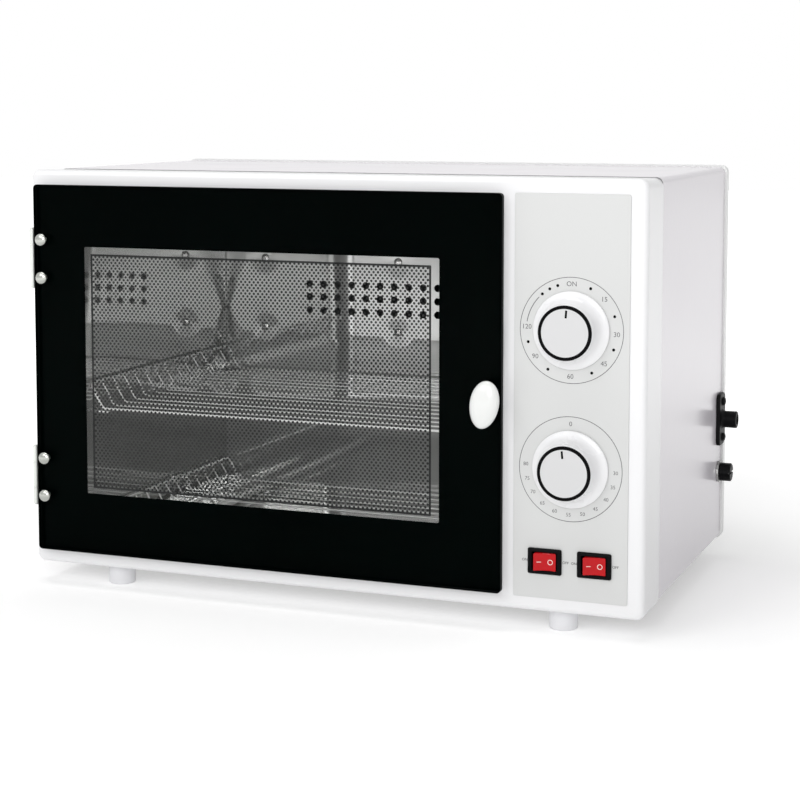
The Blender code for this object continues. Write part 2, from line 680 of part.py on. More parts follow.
def rear_panel(builder):
    """Dished panel whose rim laps over the rear end of the cover, vented and screwed."""
    low = (-LEFT_REACH, COVER_RAISE - SEAT_GAP - REAR_SHEET)
    high = (LEFT_REACH, COVER_TOP + SEAT_GAP + REAR_SHEET)
    radius = COVER_CORNER_RADIUS + SEAT_GAP + REAR_SHEET
    lip = REAR_SHEET + COVER_JOGGLE
    inside = rounded_rectangle((low[0] + lip, low[1] + REAR_SHEET), (high[0] - lip, high[1] - lip),
                               radius - REAR_SHEET)
    outside = rounded_rectangle(low, high, radius)
    rim = CASE_DEPTH - REAR_RIM_DEPTH
    loops = [loop_at("Y", CASE_DEPTH, inside), loop_at("Y", rim, inside),
             loop_at("Y", rim, outside)]
    for step in range(EDGE_STEPS + 1):
        turn = math.radians(90 * step / EDGE_STEPS)
        inset = REAR_EDGE_RADIUS * (1 - math.cos(turn))
        depth = REAR_FACE - REAR_EDGE_RADIUS * (1 - math.sin(turn))
        loops.append(loop_at("Y", depth, inset_rectangle(low, high, inset, radius - inset)))
    mesh = bmesh.new()
    add_loft(mesh, loops)
    panel = builder.piece("rear_panel", mesh, "white_enamel")
    cuts = bmesh.new()
    for centre_x in (DIAL_X, CHAMBER_MIDDLE):
        for index in range(REAR_VENT_COUNT):
            centre_z = VENT_MIDDLE_HEIGHT + REAR_VENT_PITCH * (index - REAR_VENT_COUNT // 2)
            outline = slot((centre_x, centre_z), REAR_VENT_LENGTH, REAR_VENT_WIDTH)
            add_prism(cuts, "Y", outline, CASE_DEPTH - CUT_OVERRUN, REAR_FACE + CUT_OVERRUN)
    builder.tool(panel, cuts)
    heads = bmesh.new()
    for centre_x in (-LEFT_REACH + REAR_SCREW_INSET, 0, LEFT_REACH - REAR_SCREW_INSET):
        for centre_z in (low[1] + REAR_SCREW_INSET, high[1] - REAR_SCREW_INSET):
            profile = [(0, REAR_FACE - REAR_SHEET / 2), (REAR_SCREW_RADIUS, REAR_FACE - REAR_SHEET / 2)]
            profile += dome_profile(REAR_SCREW_RADIUS, REAR_FACE, REAR_SCREW_HEIGHT, 1)
            add_turned(heads, "Y", (centre_x, centre_z), profile, TINY_SEGMENTS)
    builder.tool(panel, heads, "UNION")


def foot(builder, name, centre, top):
    """Round foot with a screw recess in its underside."""
    bottom = -FOOT_HEIGHT
    profile = [
        (0, top), (FOOT_RADIUS - FOOT_EDGE / 2, top), (FOOT_RADIUS, top - FOOT_EDGE / 2),
        (FOOT_RADIUS - FOOT_TAPER, bottom + FOOT_EDGE),
        (FOOT_RADIUS - FOOT_TAPER - FOOT_EDGE, bottom), (FOOT_RECESS_RADIUS, bottom),
        (FOOT_RECESS_RADIUS, bottom + FOOT_RECESS_DEPTH), (0, bottom + FOOT_RECESS_DEPTH),
    ]
    mesh = bmesh.new()
    add_turned(mesh, "Z", centre, profile, PART_SEGMENTS)
    builder.piece(name, mesh, "white_plastic")


def feet(builder):
    """Four feet: the front pair under the bezel, the rear pair under the base."""
    for side, centre_x in (("left", -FOOT_SPREAD / 2), ("right", FOOT_SPREAD / 2)):
        foot(builder, f"foot_front_{side}", (centre_x, FRONT_FOOT_SETBACK), -SEAT_GAP)
        foot(builder, f"foot_rear_{side}", (centre_x, CASE_DEPTH - REAR_FOOT_INSET),
             BASE_BOTTOM - SEAT_GAP)


def chamber_liner(builder):
    """Mirror-bright sleeve, open at both ends, with a flange behind the bezel."""
    low = (CHAMBER_LEFT, CHAMBER_FLOOR)
    high = (CHAMBER_RIGHT, CHAMBER_TOP)
    flange_rear = CHAMBER_FRONT + CHAMBER_SHEET

    def grown(amount):
        return inset_rectangle(low, high, -amount, CHAMBER_CORNER_RADIUS + amount)

    ring = [loop_at("Y", CHAMBER_FRONT, grown(0)), loop_at("Y", CHAMBER_REAR, grown(0)),
            loop_at("Y", CHAMBER_REAR, grown(CHAMBER_SHEET)),
            loop_at("Y", flange_rear, grown(CHAMBER_SHEET)),
            loop_at("Y", flange_rear, grown(CHAMBER_FLANGE)),
            loop_at("Y", CHAMBER_FRONT, grown(CHAMBER_FLANGE))]
    mesh = bmesh.new()
    add_loft(mesh, ring, closed=True)
    builder.piece("chamber_liner", mesh, "mirror_steel")


def chamber_back(builder):
    """Back wall with three rows of air holes and four rivets."""
    low = (CHAMBER_LEFT - CHAMBER_FLANGE, CHAMBER_FLOOR - CHAMBER_FLANGE)
    high = (CHAMBER_RIGHT + CHAMBER_FLANGE, CHAMBER_TOP + CHAMBER_FLANGE)
    front = CHAMBER_REAR + SEAT_GAP
    mesh = bmesh.new()
    add_prism(mesh, "Y", rounded_rectangle(low, high, CHAMBER_CORNER_RADIUS, 1), front,
              front + CHAMBER_SHEET)
    wall = builder.piece("chamber_back", mesh, "mirror_steel", smooth=False)
    cuts = bmesh.new()
    vent_middle = CHAMBER_MIDDLE + VENT_SIDE_OFFSET
    for column in range(VENT_COLUMNS):
        for row in range(VENT_ROWS):
            centre = (vent_middle + VENT_COLUMN_PITCH * (column - VENT_COLUMNS // 2),
                      VENT_MIDDLE_HEIGHT + VENT_ROW_PITCH * (row - VENT_ROWS // 2))
            add_rod(cuts, "Y", centre, VENT_RADIUS, front - CUT_OVERRUN,
                    front + CHAMBER_SHEET + CUT_OVERRUN, TINY_SEGMENTS)
    builder.tool(wall, cuts)
    rivets = bmesh.new()
    left = CHAMBER_LEFT + RIVET_LEFT_OFFSET
    for centre_x in (left, left + RIVET_SPACING):
        for centre_z in (VENT_MIDDLE_HEIGHT + RIVET_RISE, VENT_MIDDLE_HEIGHT - RIVET_DROP):
            profile = [(0, front + CHAMBER_SHEET / 2), (RIVET_RADIUS, front + CHAMBER_SHEET / 2)]
            profile += dome_profile(RIVET_RADIUS, front, RIVET_HEIGHT, -1)
            add_turned(rivets, "Y", (centre_x, centre_z), profile, TINY_SEGMENTS)
    builder.tool(wall, rivets, "UNION")


def rack(builder, name, height):
    """Wire tray: a closed frame wire whose side runs stand above the floor of cross wires.

    The frame wire runs back along both raised sides and drops to the floor at the front and
    the rear. Each cross wire is bent up at both ends and welded to the raised sides.
    """
    left = CHAMBER_LEFT + RACK_SIDE_CLEARANCE
    right = CHAMBER_RIGHT - RACK_SIDE_CLEARANCE
    front = CHAMBER_FRONT + RACK_FRONT_SETBACK - FRAME_WIRE_RADIUS
    rear = front + RACK_LENGTH
    top = height + RACK_RISE

    def bent_wire(depth):
        return [Vector((left, depth, top)), Vector((left + RACK_FLARE, depth, height)),
                Vector((right - RACK_FLARE, depth, height)), Vector((right, depth, top))]

    corners = bent_wire(front) + bent_wire(rear)[::-1]
    mesh = bmesh.new()
    add_wire(mesh, rounded_path(corners, RACK_BEND_RADIUS, RACK_BEND_STEPS, True),
             FRAME_WIRE_RADIUS, True, 1)
    tray = builder.piece(name, mesh, "wire_chrome", (CHAMBER_MIDDLE, front, height))
    wires = bmesh.new()
    pitch = RACK_LENGTH / (RACK_CROSS_WIRES + 1)
    for index in range(RACK_CROSS_WIRES):
        path = rounded_path(bent_wire(front + pitch * (index + 1)), RACK_BEND_RADIUS,
                            RACK_BEND_STEPS, False)
        add_wire(wires, path, CROSS_WIRE_RADIUS, False, 1)
    builder.tool(tray, wires, "UNION")


def rack_runner(builder, side, centre_x):
    """Round runner on the chamber floor under the lower rack."""
    margin = CHAMBER_DEPTH * (1 - RUNNER_SHARE) / 2
    mesh = bmesh.new()
    add_rod(mesh, "Y", (centre_x, CHAMBER_FLOOR + SEAT_GAP + RUNNER_RADIUS), RUNNER_RADIUS,
            CHAMBER_FRONT + margin, CHAMBER_REAR - margin)
    builder.piece(f"floor_runner_{side}", mesh, "wire_chrome")


def rack_bracket(builder, side, wall_x, inward):
    """Strip on a chamber wall with a tab under each end of the upper rack."""
    start = CHAMBER_FRONT + RACK_FRONT_SETBACK - TAB_LENGTH / 2
    end = start + RACK_LENGTH + TAB_LENGTH
    top = UPPER_RACK_HEIGHT - FRAME_WIRE_RADIUS - SEAT_GAP
    back = wall_x + inward * SEAT_GAP
    face = back + inward * BRACKET_SHEET
    tip = wall_x + inward * TAB_REACH
    outline = [(back, top - BRACKET_HEIGHT), (face, top - BRACKET_HEIGHT),
               (face, top - BRACKET_SHEET), (tip, top - BRACKET_SHEET), (tip, top), (back, top)]
    mesh = bmesh.new()
    add_prism(mesh, "Y", outline, start, end)
    bracket = builder.piece(f"rack_bracket_{side}", mesh, "mirror_steel", smooth=False)
    cuts = bmesh.new()
    sides = sorted((face, tip + inward * CUT_OVERRUN))
    low = top - BRACKET_SHEET - CUT_OVERRUN
    high = top + CUT_OVERRUN
    add_box(cuts, (sides[0], start + TAB_LENGTH, low), (sides[1], end - 2 * TAB_LENGTH, high))
    builder.tool(bracket, cuts)


def racks(builder):
    """Both racks with what carries them."""
    rack(builder, "upper_rack", UPPER_RACK_HEIGHT)
    rack(builder, "lower_rack", LOWER_RACK_HEIGHT)
    rack_runner(builder, "left", CHAMBER_LEFT + RUNNER_INSET)
    rack_runner(builder, "right", CHAMBER_RIGHT - RUNNER_INSET)
    rack_bracket(builder, "left", CHAMBER_LEFT, 1)
    rack_bracket(builder, "right", CHAMBER_RIGHT, -1)


def lamp(builder):
    """Germicidal tube under the chamber roof between two holders."""
    centre = (CHAMBER_FRONT + LAMP_SETBACK, CHAMBER_TOP - LAMP_DROP)
    left = CHAMBER_MIDDLE - LAMP_LENGTH / 2
    right = CHAMBER_MIDDLE + LAMP_LENGTH / 2
    cap = LAMP_RADIUS + LAMP_CAP_STEP
    profile = [(0, left), (cap, left), (cap, left + LAMP_CAP_LENGTH),
               (LAMP_RADIUS, left + LAMP_CAP_LENGTH), (LAMP_RADIUS, right - LAMP_CAP_LENGTH),
               (cap, right - LAMP_CAP_LENGTH), (cap, right), (0, right)]
    mesh = bmesh.new()
    add_turned(mesh, "X", centre, profile, PART_SEGMENTS)
    builder.piece("lamp_tube", mesh, "lamp_glass")
    low = (centre[0] - HOLDER_WIDTH / 2, centre[1] - HOLDER_BELOW_LAMP)
    high = (centre[0] + HOLDER_WIDTH / 2, CHAMBER_TOP - SEAT_GAP)
    outline = rounded_rectangle(low, high, HOLDER_CORNER_RADIUS)
    for side, start in (("left", left - SEAT_GAP - HOLDER_THICKNESS), ("right", right + SEAT_GAP)):
        mesh = bmesh.new()
        add_prism(mesh, "X", outline, start, start + HOLDER_THICKNESS)
        builder.piece(f"lamp_holder_{side}", mesh, "starter_white")


def heater(builder):
    """Flat foil heater pressed under the chamber floor."""
    top = CHAMBER_FLOOR - CHAMBER_SHEET - SEAT_GAP
    low = (CHAMBER_LEFT + HEATER_MARGIN, CHAMBER_FRONT + HEATER_MARGIN)
    high = (CHAMBER_RIGHT - HEATER_MARGIN, CHAMBER_REAR - HEATER_MARGIN)
    mesh = bmesh.new()
    outline = rounded_rectangle(low, high, HEATER_CORNER_RADIUS)
    add_prism(mesh, "Z", outline, top - HEATER_THICKNESS, top)
    builder.piece("heater_mat", mesh, "heater_foil", smooth=False)


def ballast(builder):
    """Lamp ballast: a laminated block on a mounting strip, behind the switches."""
    bottom = BASE_TOP + SEAT_GAP
    shoulder = bottom + BALLAST_FOOT_THICKNESS
    start = BALLAST_FRONT
    side = [
        (start - BALLAST_FOOT_OVERHANG, bottom),
        (start + BALLAST_LENGTH + BALLAST_FOOT_OVERHANG, bottom),
        (start + BALLAST_LENGTH + BALLAST_FOOT_OVERHANG, shoulder),
        (start + BALLAST_LENGTH, shoulder), (start + BALLAST_LENGTH, bottom + BALLAST_HEIGHT),
        (start, bottom + BALLAST_HEIGHT), (start, shoulder),
        (start - BALLAST_FOOT_OVERHANG, shoulder),
    ]
    mesh = bmesh.new()
    add_prism(mesh, "X", side, DIAL_X - BALLAST_WIDTH / 2, DIAL_X + BALLAST_WIDTH / 2)
    builder.piece("ballast", mesh, "zinc_steel", smooth=False)


def starter(builder):
    """Glow starter standing in its socket beside the ballast."""
    bottom = BASE_TOP + SEAT_GAP
    shoulder = bottom + STARTER_BASE_HEIGHT
    socket = STARTER_RADIUS + STARTER_BASE_LIP
    profile = [(0, bottom), (socket, bottom), (socket, shoulder), (STARTER_RADIUS, shoulder)]
    profile += dome_profile(STARTER_RADIUS, bottom + STARTER_HEIGHT, STARTER_BASE_LIP, 1)
    mesh = bmesh.new()
    centre = (DIAL_X - BALLAST_WIDTH / 2 - STARTER_SPACE - socket, BALLAST_FRONT + socket)
    add_turned(mesh, "Z", centre, profile, PART_SEGMENTS)
    builder.piece("starter", mesh, "starter_white")


def control_body(builder, name, height, size, depth):
    """Square switch body behind a knob, with a collar against the bezel and a shaft bore."""
    front = BEZEL_WALL + SEAT_GAP
    body_front = front + BODY_COLLAR_DEPTH
    low = (DIAL_X - size / 2, height - size / 2)
    high = (DIAL_X + size / 2, height + size / 2)
    mesh = bmesh.new()
    add_prism(mesh, "Y", rounded_rectangle(low, high, BODY_EDGE, 2), body_front, body_front + depth)
    body = builder.piece(name, mesh, "brown_phenolic")
    collar = bmesh.new()
    add_rod(collar, "Y", (DIAL_X, height), BODY_COLLAR_RADIUS, front, body_front + BODY_EDGE,
            PART_SEGMENTS)
    builder.tool(body, collar, "UNION")
    bore = bmesh.new()
    end = front + SHAFT_TAIL + RUNNING_GAP
    add_rod(bore, "Y", (DIAL_X, height), SHAFT_RADIUS + RUNNING_GAP, front - CUT_OVERRUN, end)
    builder.tool(body, bore)


def control_overlay(builder):
    """Thin printed sheet on the bezel behind the knobs and switches."""
    outline = rounded_rectangle((OVERLAY_LEFT, OVERLAY_BOTTOM),
                                (OVERLAY_RIGHT, OVERLAY_TOP),
                                OVERLAY_CORNER_RADIUS)
    mesh = bmesh.new()
    add_prism(mesh, "Y", outline, OVERLAY_FRONT, -SEAT_GAP)
    sheet = builder.piece("control_overlay", mesh, "grey_print", smooth=False)
    cuts = bmesh.new()
    add_control_holes(cuts, OVERLAY_FRONT - CUT_OVERRUN, CUT_OVERRUN)
    builder.tool(sheet, cuts)


def knob(builder, name, height):
    """Skirted dial knob: hollow body, flat cap and the shaft that it turns."""
    origin = (DIAL_X, -KNOB_BASE, height)
    bore = SHAFT_RADIUS + FILM_GAP
    bore_end = KNOB_BASE + KNOB_BORE_DEPTH
    crown = KNOB_FACE - KNOB_WALL
    rim = KNOB_BASE + KNOB_RIM_HEIGHT
    outside = [(KNOB_SKIRT_RADIUS, KNOB_BASE), (KNOB_SKIRT_RADIUS, rim)]
    for radius_share, height_share in KNOB_WAIST_SHARES:
        outside.append((KNOB_SKIRT_RADIUS * radius_share, KNOB_BASE + KNOB_HEIGHT * height_share))
    outside.append((KNOB_TOP_RADIUS, KNOB_FACE))
    inside = [(radius - KNOB_WALL, along) for radius, along in outside[3:-1:2]]
    profile = [
        (0, KNOB_FACE), *outside[::-1], (KNOB_SKIRT_RADIUS - KNOB_WALL, KNOB_BASE),
        *inside, (inside[-1][0], crown), (KNOB_HUB_RADIUS, crown), (KNOB_HUB_RADIUS, KNOB_BASE),
        (bore, KNOB_BASE), (bore, bore_end), (0, bore_end),
    ]
    mesh = bmesh.new()
    add_turned(mesh, "Y", (DIAL_X, height), [(radius, -along) for radius, along in profile],
               KNOB_SEGMENTS)
    builder.piece(f"{name}_knob", mesh, "white_plastic", origin)
    cap_back = KNOB_FACE + FILM_GAP
    cap_front = cap_back + KNOB_CAP_THICKNESS
    cap = [(0, cap_back), (KNOB_TOP_RADIUS, cap_back), (KNOB_TOP_RADIUS, cap_front - KNOB_CAP_EDGE),
           (KNOB_TOP_RADIUS - KNOB_CAP_EDGE, cap_front), (0, cap_front)]
    mesh = bmesh.new()
    add_turned(mesh, "Y", (DIAL_X, height), [(radius, -along) for radius, along in cap],
               KNOB_SEGMENTS)
    builder.piece(f"{name}_knob_cap", mesh, "grey_cap", origin)
    mesh = bmesh.new()
    add_rod(mesh, "Y", (DIAL_X, height), SHAFT_RADIUS, SEAT_GAP - bore_end,
            BEZEL_WALL + SEAT_GAP + SHAFT_TAIL)
    builder.piece(f"{name}_shaft", mesh, "zinc_steel", origin)


def rocker_switch(builder, name, centre):
    """Snap-in switch: a bezelled housing with a pocket and the rocker that tips in it."""
    pocket = (ROCKER_WIDTH / 2 + ROCKER_SIDE_GAP, ROCKER_HEIGHT / 2 + ROCKER_END_GAP)
    bezel = (SWITCH_BEZEL_WIDTH / 2, SWITCH_BEZEL_HEIGHT / 2)
    back = OVERLAY_FRONT - SEAT_GAP
    front = back - SWITCH_BEZEL_THICKNESS

    def outline(half, inset):
        low = (centre[0] - half[0], centre[1] - half[1])
        high = (centre[0] + half[0], centre[1] + half[1])
        return inset_rectangle(low, high, inset, SWITCH_BEZEL_RADIUS, 2)

    loops = [
        loop_at("Y", front + SWITCH_POCKET_DEPTH, outline(pocket, 0)),
        loop_at("Y", front, outline(pocket, 0)),
        loop_at("Y", front, outline(bezel, SWITCH_BEZEL_SLOPE)),
        loop_at("Y", front + SWITCH_BEZEL_SLOPE, outline(bezel, 0)),
        loop_at("Y", back, outline(bezel, 0)),
        loop_at("Y", back, outline(pocket, -SWITCH_WALL)),
        loop_at("Y", front + SWITCH_BODY_DEPTH, outline(pocket, -SWITCH_WALL)),
    ]
    mesh = bmesh.new()
    add_loft(mesh, loops)
    builder.piece(f"{name}_switch_housing", mesh, "black_plastic", smooth=False)

    pivot = Vector((centre[0], back + SWITCH_WALL, centre[1]))
    half = ROCKER_WIDTH / 2
    profile = [(-half, -ROCKER_CREST), (0, -ROCKER_CREST + ROCKER_DIP), (half, -ROCKER_CREST)]
    for step in range(ROCKER_STEPS + 1):
        turn = math.radians(180 * step / ROCKER_STEPS)
        profile.append(((half - SWITCH_WALL) * math.cos(turn), ROCKER_KEEL * math.sin(turn)))
    cosine = math.cos(ROCKER_TILT)
    sine = math.sin(ROCKER_TILT)
    tipped = [(pivot.x + x * cosine - y * sine, pivot.y + x * sine + y * cosine)
              for x, y in profile]
    mesh = bmesh.new()
    add_prism(mesh, "Z", tipped, centre[1] - ROCKER_HEIGHT / 2, centre[1] + ROCKER_HEIGHT / 2)
    builder.piece(f"{name}_rocker", mesh, "red_rocker", pivot)


def door_bolt_holes(mesh, start, end, radius):
    """Holes for the hinge screws, through the glass, the print or a hinge leaf."""
    for centre in hinge_screw_centres():
        add_rod(mesh, "Y", centre, radius, start, end, TINY_SEGMENTS)


def hinge_heights():
    """Middle height of each hinge by name."""
    return {"upper": DOOR_MIDDLE + HINGE_SPREAD / 2, "lower": DOOR_MIDDLE - HINGE_SPREAD / 2}


def hinge_screw_centres():
    """Centres of the four screws that clamp the glass to its hinges."""
    centre_x = DOOR_LEFT + HINGE_SCREW_INSET
    half = HINGE_SCREW_SPACING / 2
    return [(centre_x, height + offset) for height in hinge_heights().values()
            for offset in (half, -half)]


def door_glass(builder):
    """Toughened sheet drilled for its hinges and its pull."""
    low = (DOOR_LEFT, DOOR_BOTTOM)
    high = (DOOR_RIGHT, DOOR_TOP)
    full = rounded_rectangle(low, high, DOOR_CORNER_RADIUS)
    eased = inset_rectangle(low, high, GLASS_EDGE, DOOR_CORNER_RADIUS - GLASS_EDGE)
    mesh = bmesh.new()
    add_loft(mesh, [loop_at("Y", GLASS_FRONT, eased), loop_at("Y", GLASS_FRONT + GLASS_EDGE, full),
                    loop_at("Y", GLASS_BACK - GLASS_EDGE, full), loop_at("Y", GLASS_BACK, eased)])
    glass = builder.piece("door_glass", mesh, "clear_glass", HINGE_AXIS)
    cuts = bmesh.new()
    start = GLASS_FRONT - CUT_OVERRUN
    end = GLASS_BACK + CUT_OVERRUN
    door_bolt_holes(cuts, start, end, HINGE_SCREW_SHANK_RADIUS + HINGE_SCREW_CLEARANCE)
    add_rod(cuts, "Y", (HANDLE_X, HANDLE_HEIGHT), HANDLE_SCREW_RADIUS + SEAT_GAP, start, end)
    builder.tool(glass, cuts)


def door_print(builder):
    """Black border behind the glass, open at the window."""
    outer = inset_rectangle((DOOR_LEFT, DOOR_BOTTOM), (DOOR_RIGHT, DOOR_TOP), PRINT_INSET,
                            DOOR_CORNER_RADIUS - PRINT_INSET)
    low = (DOOR_LEFT + WINDOW_LEFT_BORDER, DOOR_BOTTOM + WINDOW_BOTTOM_BORDER)
    high = (DOOR_RIGHT - WINDOW_RIGHT_BORDER, DOOR_TOP - WINDOW_TOP_BORDER)
    inner = rounded_rectangle(low, high, WINDOW_CORNER_RADIUS)
    mesh = bmesh.new()
    add_loft(mesh, [loop_at("Y", PRINT_FRONT, outer), loop_at("Y", PRINT_BACK, outer),
                    loop_at("Y", PRINT_BACK, inner), loop_at("Y", PRINT_FRONT, inner)], closed=True)
    border = builder.piece("door_print", mesh, "black_print", HINGE_AXIS, smooth=False)
    cuts = bmesh.new()
    start = PRINT_FRONT - CUT_OVERRUN
    end = PRINT_BACK + CUT_OVERRUN
    door_bolt_holes(cuts, start, end, HINGE_SCREW_SHANK_RADIUS + HINGE_SCREW_CLEARANCE)
    add_rod(cuts, "Y", (HANDLE_X, HANDLE_HEIGHT), HANDLE_SCREW_RADIUS + SEAT_GAP, start, end)
    builder.tool(border, cuts)


def door_handle(builder):
    """Leaning egg-shaped pull on a narrower foot, and the screw that holds it."""
    base = GLASS_FRONT - SEAT_GAP
    cosine = math.cos(HANDLE_TILT)
    sine = math.sin(HANDLE_TILT)

    def outline(share):
        points = []
        for index in range(HANDLE_SEGMENTS):
            turn = math.tau * index / HANDLE_SEGMENTS
            along = HANDLE_LENGTH / 2 * math.sin(turn)
            across = HANDLE_WIDTH / 2 * math.cos(turn) * (1 + HANDLE_SKEW_SHARE * math.sin(turn))
            points.append((HANDLE_X + share * (across * cosine - along * sine),
                           HANDLE_HEIGHT + share * (across * sine + along * cosine)))
        return points

    loops = [loop_at("Y", base - HANDLE_REACH * reach, outline(share))
             for reach, share in HANDLE_SECTION_SHARES]
    loops.append([Vector((HANDLE_X, base - HANDLE_REACH, HANDLE_HEIGHT))])
    mesh = bmesh.new()
    add_loft(mesh, loops)
    pull = builder.piece("door_handle", mesh, "white_plastic", HINGE_AXIS)
    bore = bmesh.new()
    centre = (HANDLE_X, HANDLE_HEIGHT)
    add_rod(bore, "Y", centre, HANDLE_SCREW_RADIUS + FILM_GAP,
            base - HANDLE_SCREW_DEPTH - SEAT_GAP, base + CUT_OVERRUN)
    builder.tool(pull, bore)
    seat = PRINT_BACK + SEAT_GAP
    profile = [(0, base - HANDLE_SCREW_DEPTH), (HANDLE_SCREW_RADIUS, base - HANDLE_SCREW_DEPTH),
               (HANDLE_SCREW_RADIUS, seat)]
    profile += dome_profile(HANDLE_SCREW_HEAD_RADIUS, seat, HANDLE_SCREW_HEAD_HEIGHT, 1)
    mesh = bmesh.new()
    add_turned(mesh, "Y", centre, profile, SMALL_SEGMENTS)
    builder.piece("handle_screw", mesh, "zinc_steel", HINGE_AXIS)


def door_seal(builder):
    """Rubber bead round the chamber mouth."""
    low = (MOUTH_LEFT, MOUTH_BOTTOM)
    high = (MOUTH_RIGHT, MOUTH_TOP)
    back = -SEAT_GAP
    front = back - GASKET_THICKNESS
    inner = rounded_rectangle(low, high, MOUTH_CORNER_RADIUS)
    outer = inset_rectangle(low, high, -GASKET_WIDTH, MOUTH_CORNER_RADIUS + GASKET_WIDTH)
    middle = inset_rectangle(low, high, -GASKET_WIDTH / 2, MOUTH_CORNER_RADIUS + GASKET_WIDTH / 2)
    mesh = bmesh.new()
    add_loft(mesh, [loop_at("Y", back, inner), loop_at("Y", back, outer),
                    loop_at("Y", (front + back) / 2, outer), loop_at("Y", front, middle),
                    loop_at("Y", (front + back) / 2, inner)], closed=True)
    builder.piece("door_gasket", mesh, "black_rubber")


def door_catch(builder):
    """Magnet on the bezel and the steel disc on the door that it holds."""
    height = HANDLE_HEIGHT + MAGNET_LIFT
    strike_front = PRINT_BACK + FILM_GAP
    strike_back = strike_front + STRIKE_THICKNESS
    magnet_front = strike_back + SEAT_GAP
    low = (HANDLE_X - MAGNET_WIDTH / 2, height - MAGNET_HEIGHT / 2)
    high = (HANDLE_X + MAGNET_WIDTH / 2, height + MAGNET_HEIGHT / 2)
    full = rounded_rectangle(low, high, 2 * MAGNET_EDGE, 2)
    eased = inset_rectangle(low, high, MAGNET_EDGE, MAGNET_EDGE, 2)
    mesh = bmesh.new()
    add_loft(mesh, [loop_at("Y", magnet_front, eased), loop_at("Y", magnet_front + MAGNET_EDGE, full),
                    loop_at("Y", -SEAT_GAP, full)])
    builder.piece("magnet_catch", mesh, "black_plastic", smooth=False)
    mesh = bmesh.new()
    add_rod(mesh, "Y", (HANDLE_X, height), STRIKE_RADIUS, strike_front, strike_back, PART_SEGMENTS)
    builder.piece("strike_plate", mesh, "zinc_steel", HINGE_AXIS)


def hinge_leaf(builder, name, height, finish_origin, knuckles, plate_front, neck_end):
    """A hinge leaf with its own knuckles: a plate, necks out to them and a common bore."""
    plate_left = DOOR_LEFT + FILM_GAP
    plate_right = DOOR_LEFT + HINGE_LEAF_REACH
    half = HINGE_LENGTH / 2
    plate_back = plate_front + HINGE_LEAF_THICKNESS
    mesh = bmesh.new()
    add_box(mesh, (plate_left, plate_front, height - half), (plate_right, plate_back, height + half))
    leaf = builder.piece(name, mesh, "hinge_steel", finish_origin)
    centre = (HINGE_AXIS_X, HINGE_AXIS_Y)
    for start, end in knuckles:
        neck = bmesh.new()
        add_box(neck, (neck_end, plate_front, start), (plate_left + RUNNING_GAP, plate_back, end))
        builder.tool(leaf, neck, "UNION")
        barrel = bmesh.new()
        add_rod(barrel, "Z", centre, HINGE_BARREL_RADIUS, start, end)
        builder.tool(leaf, barrel, "UNION")
    cuts = bmesh.new()
    add_rod(cuts, "Z", centre, HINGE_PIN_RADIUS + HINGE_BORE_CLEARANCE, height - half - CUT_OVERRUN,
            height + half + CUT_OVERRUN)
    builder.tool(leaf, cuts)
    return leaf


def hinge(builder, name, height):
    """Three-knuckle butt hinge with its pin and its two clamping screws."""
    half = HINGE_LENGTH / 2
    middle = HINGE_LENGTH * HINGE_MIDDLE_SHARE / 2
    outer_knuckles = ((height - half, height - middle - SEAT_GAP),
                      (height + middle + SEAT_GAP, height + half))
    frame_front = -SEAT_GAP - HINGE_LEAF_THICKNESS
    hinge_leaf(builder, f"{name}_hinge_frame_leaf", height, (0, 0, 0), outer_knuckles,
               frame_front, HINGE_AXIS_X)
    neck_end = HINGE_AXIS_X + HINGE_PIN_RADIUS + RUNNING_GAP
    door_leaf = hinge_leaf(builder, f"{name}_hinge_door_leaf", height, HINGE_AXIS,
                           ((height - middle, height + middle),), HINGE_LEAF_FRONT, neck_end)
    holes = bmesh.new()
    leaf_back = HINGE_LEAF_FRONT + HINGE_LEAF_THICKNESS
    door_bolt_holes(holes, HINGE_LEAF_FRONT - CUT_OVERRUN, leaf_back + CUT_OVERRUN,
                    HINGE_SCREW_SHANK_RADIUS + FILM_GAP)
    builder.tool(door_leaf, holes)

    head_start = height + half + FILM_GAP
    head_end = head_start + HINGE_PIN_HEAD_HEIGHT
    foot_start = height - half - FILM_GAP
    foot_end = foot_start - HINGE_PIN_HEAD_HEIGHT
    profile = [(0, foot_end), (HINGE_PIN_HEAD_RADIUS, foot_end), (HINGE_PIN_HEAD_RADIUS, foot_start),
               (HINGE_PIN_RADIUS, foot_start), (HINGE_PIN_RADIUS, head_start),
               (HINGE_PIN_HEAD_RADIUS, head_start), (HINGE_PIN_HEAD_RADIUS, head_end), (0, head_end)]
    mesh = bmesh.new()
    add_turned(mesh, "Z", (HINGE_AXIS_X, HINGE_AXIS_Y), profile, SMALL_SEGMENTS)
    builder.piece(f"{name}_hinge_pin", mesh, "hinge_steel")


def hinge_screws(builder):
    """Domed screws through the glass into the door leaves."""
    names = ("upper_hinge_screw_top", "upper_hinge_screw_bottom",
             "lower_hinge_screw_top", "lower_hinge_screw_bottom")
    seat = GLASS_FRONT - SEAT_GAP
    tip = HINGE_LEAF_FRONT + HINGE_LEAF_THICKNESS
    for name, centre in zip(names, hinge_screw_centres()):
        profile = [(0, tip), (HINGE_SCREW_SHANK_RADIUS, tip), (HINGE_SCREW_SHANK_RADIUS, seat)]
        profile += dome_profile(HINGE_SCREW_HEAD_RADIUS, seat, HINGE_SCREW_HEAD_HEIGHT, -1)
        mesh = bmesh.new()
        add_turned(mesh, "Y", centre, profile, SMALL_SEGMENTS)
        builder.piece(name, mesh, "hinge_steel", HINGE_AXIS)


def gland_screw_heights():
    """Heights of the two screws in the gland plate."""
    return (GLAND_HEIGHT + GLAND_SCREW_SPACING / 2, GLAND_HEIGHT - GLAND_SCREW_SPACING / 2)


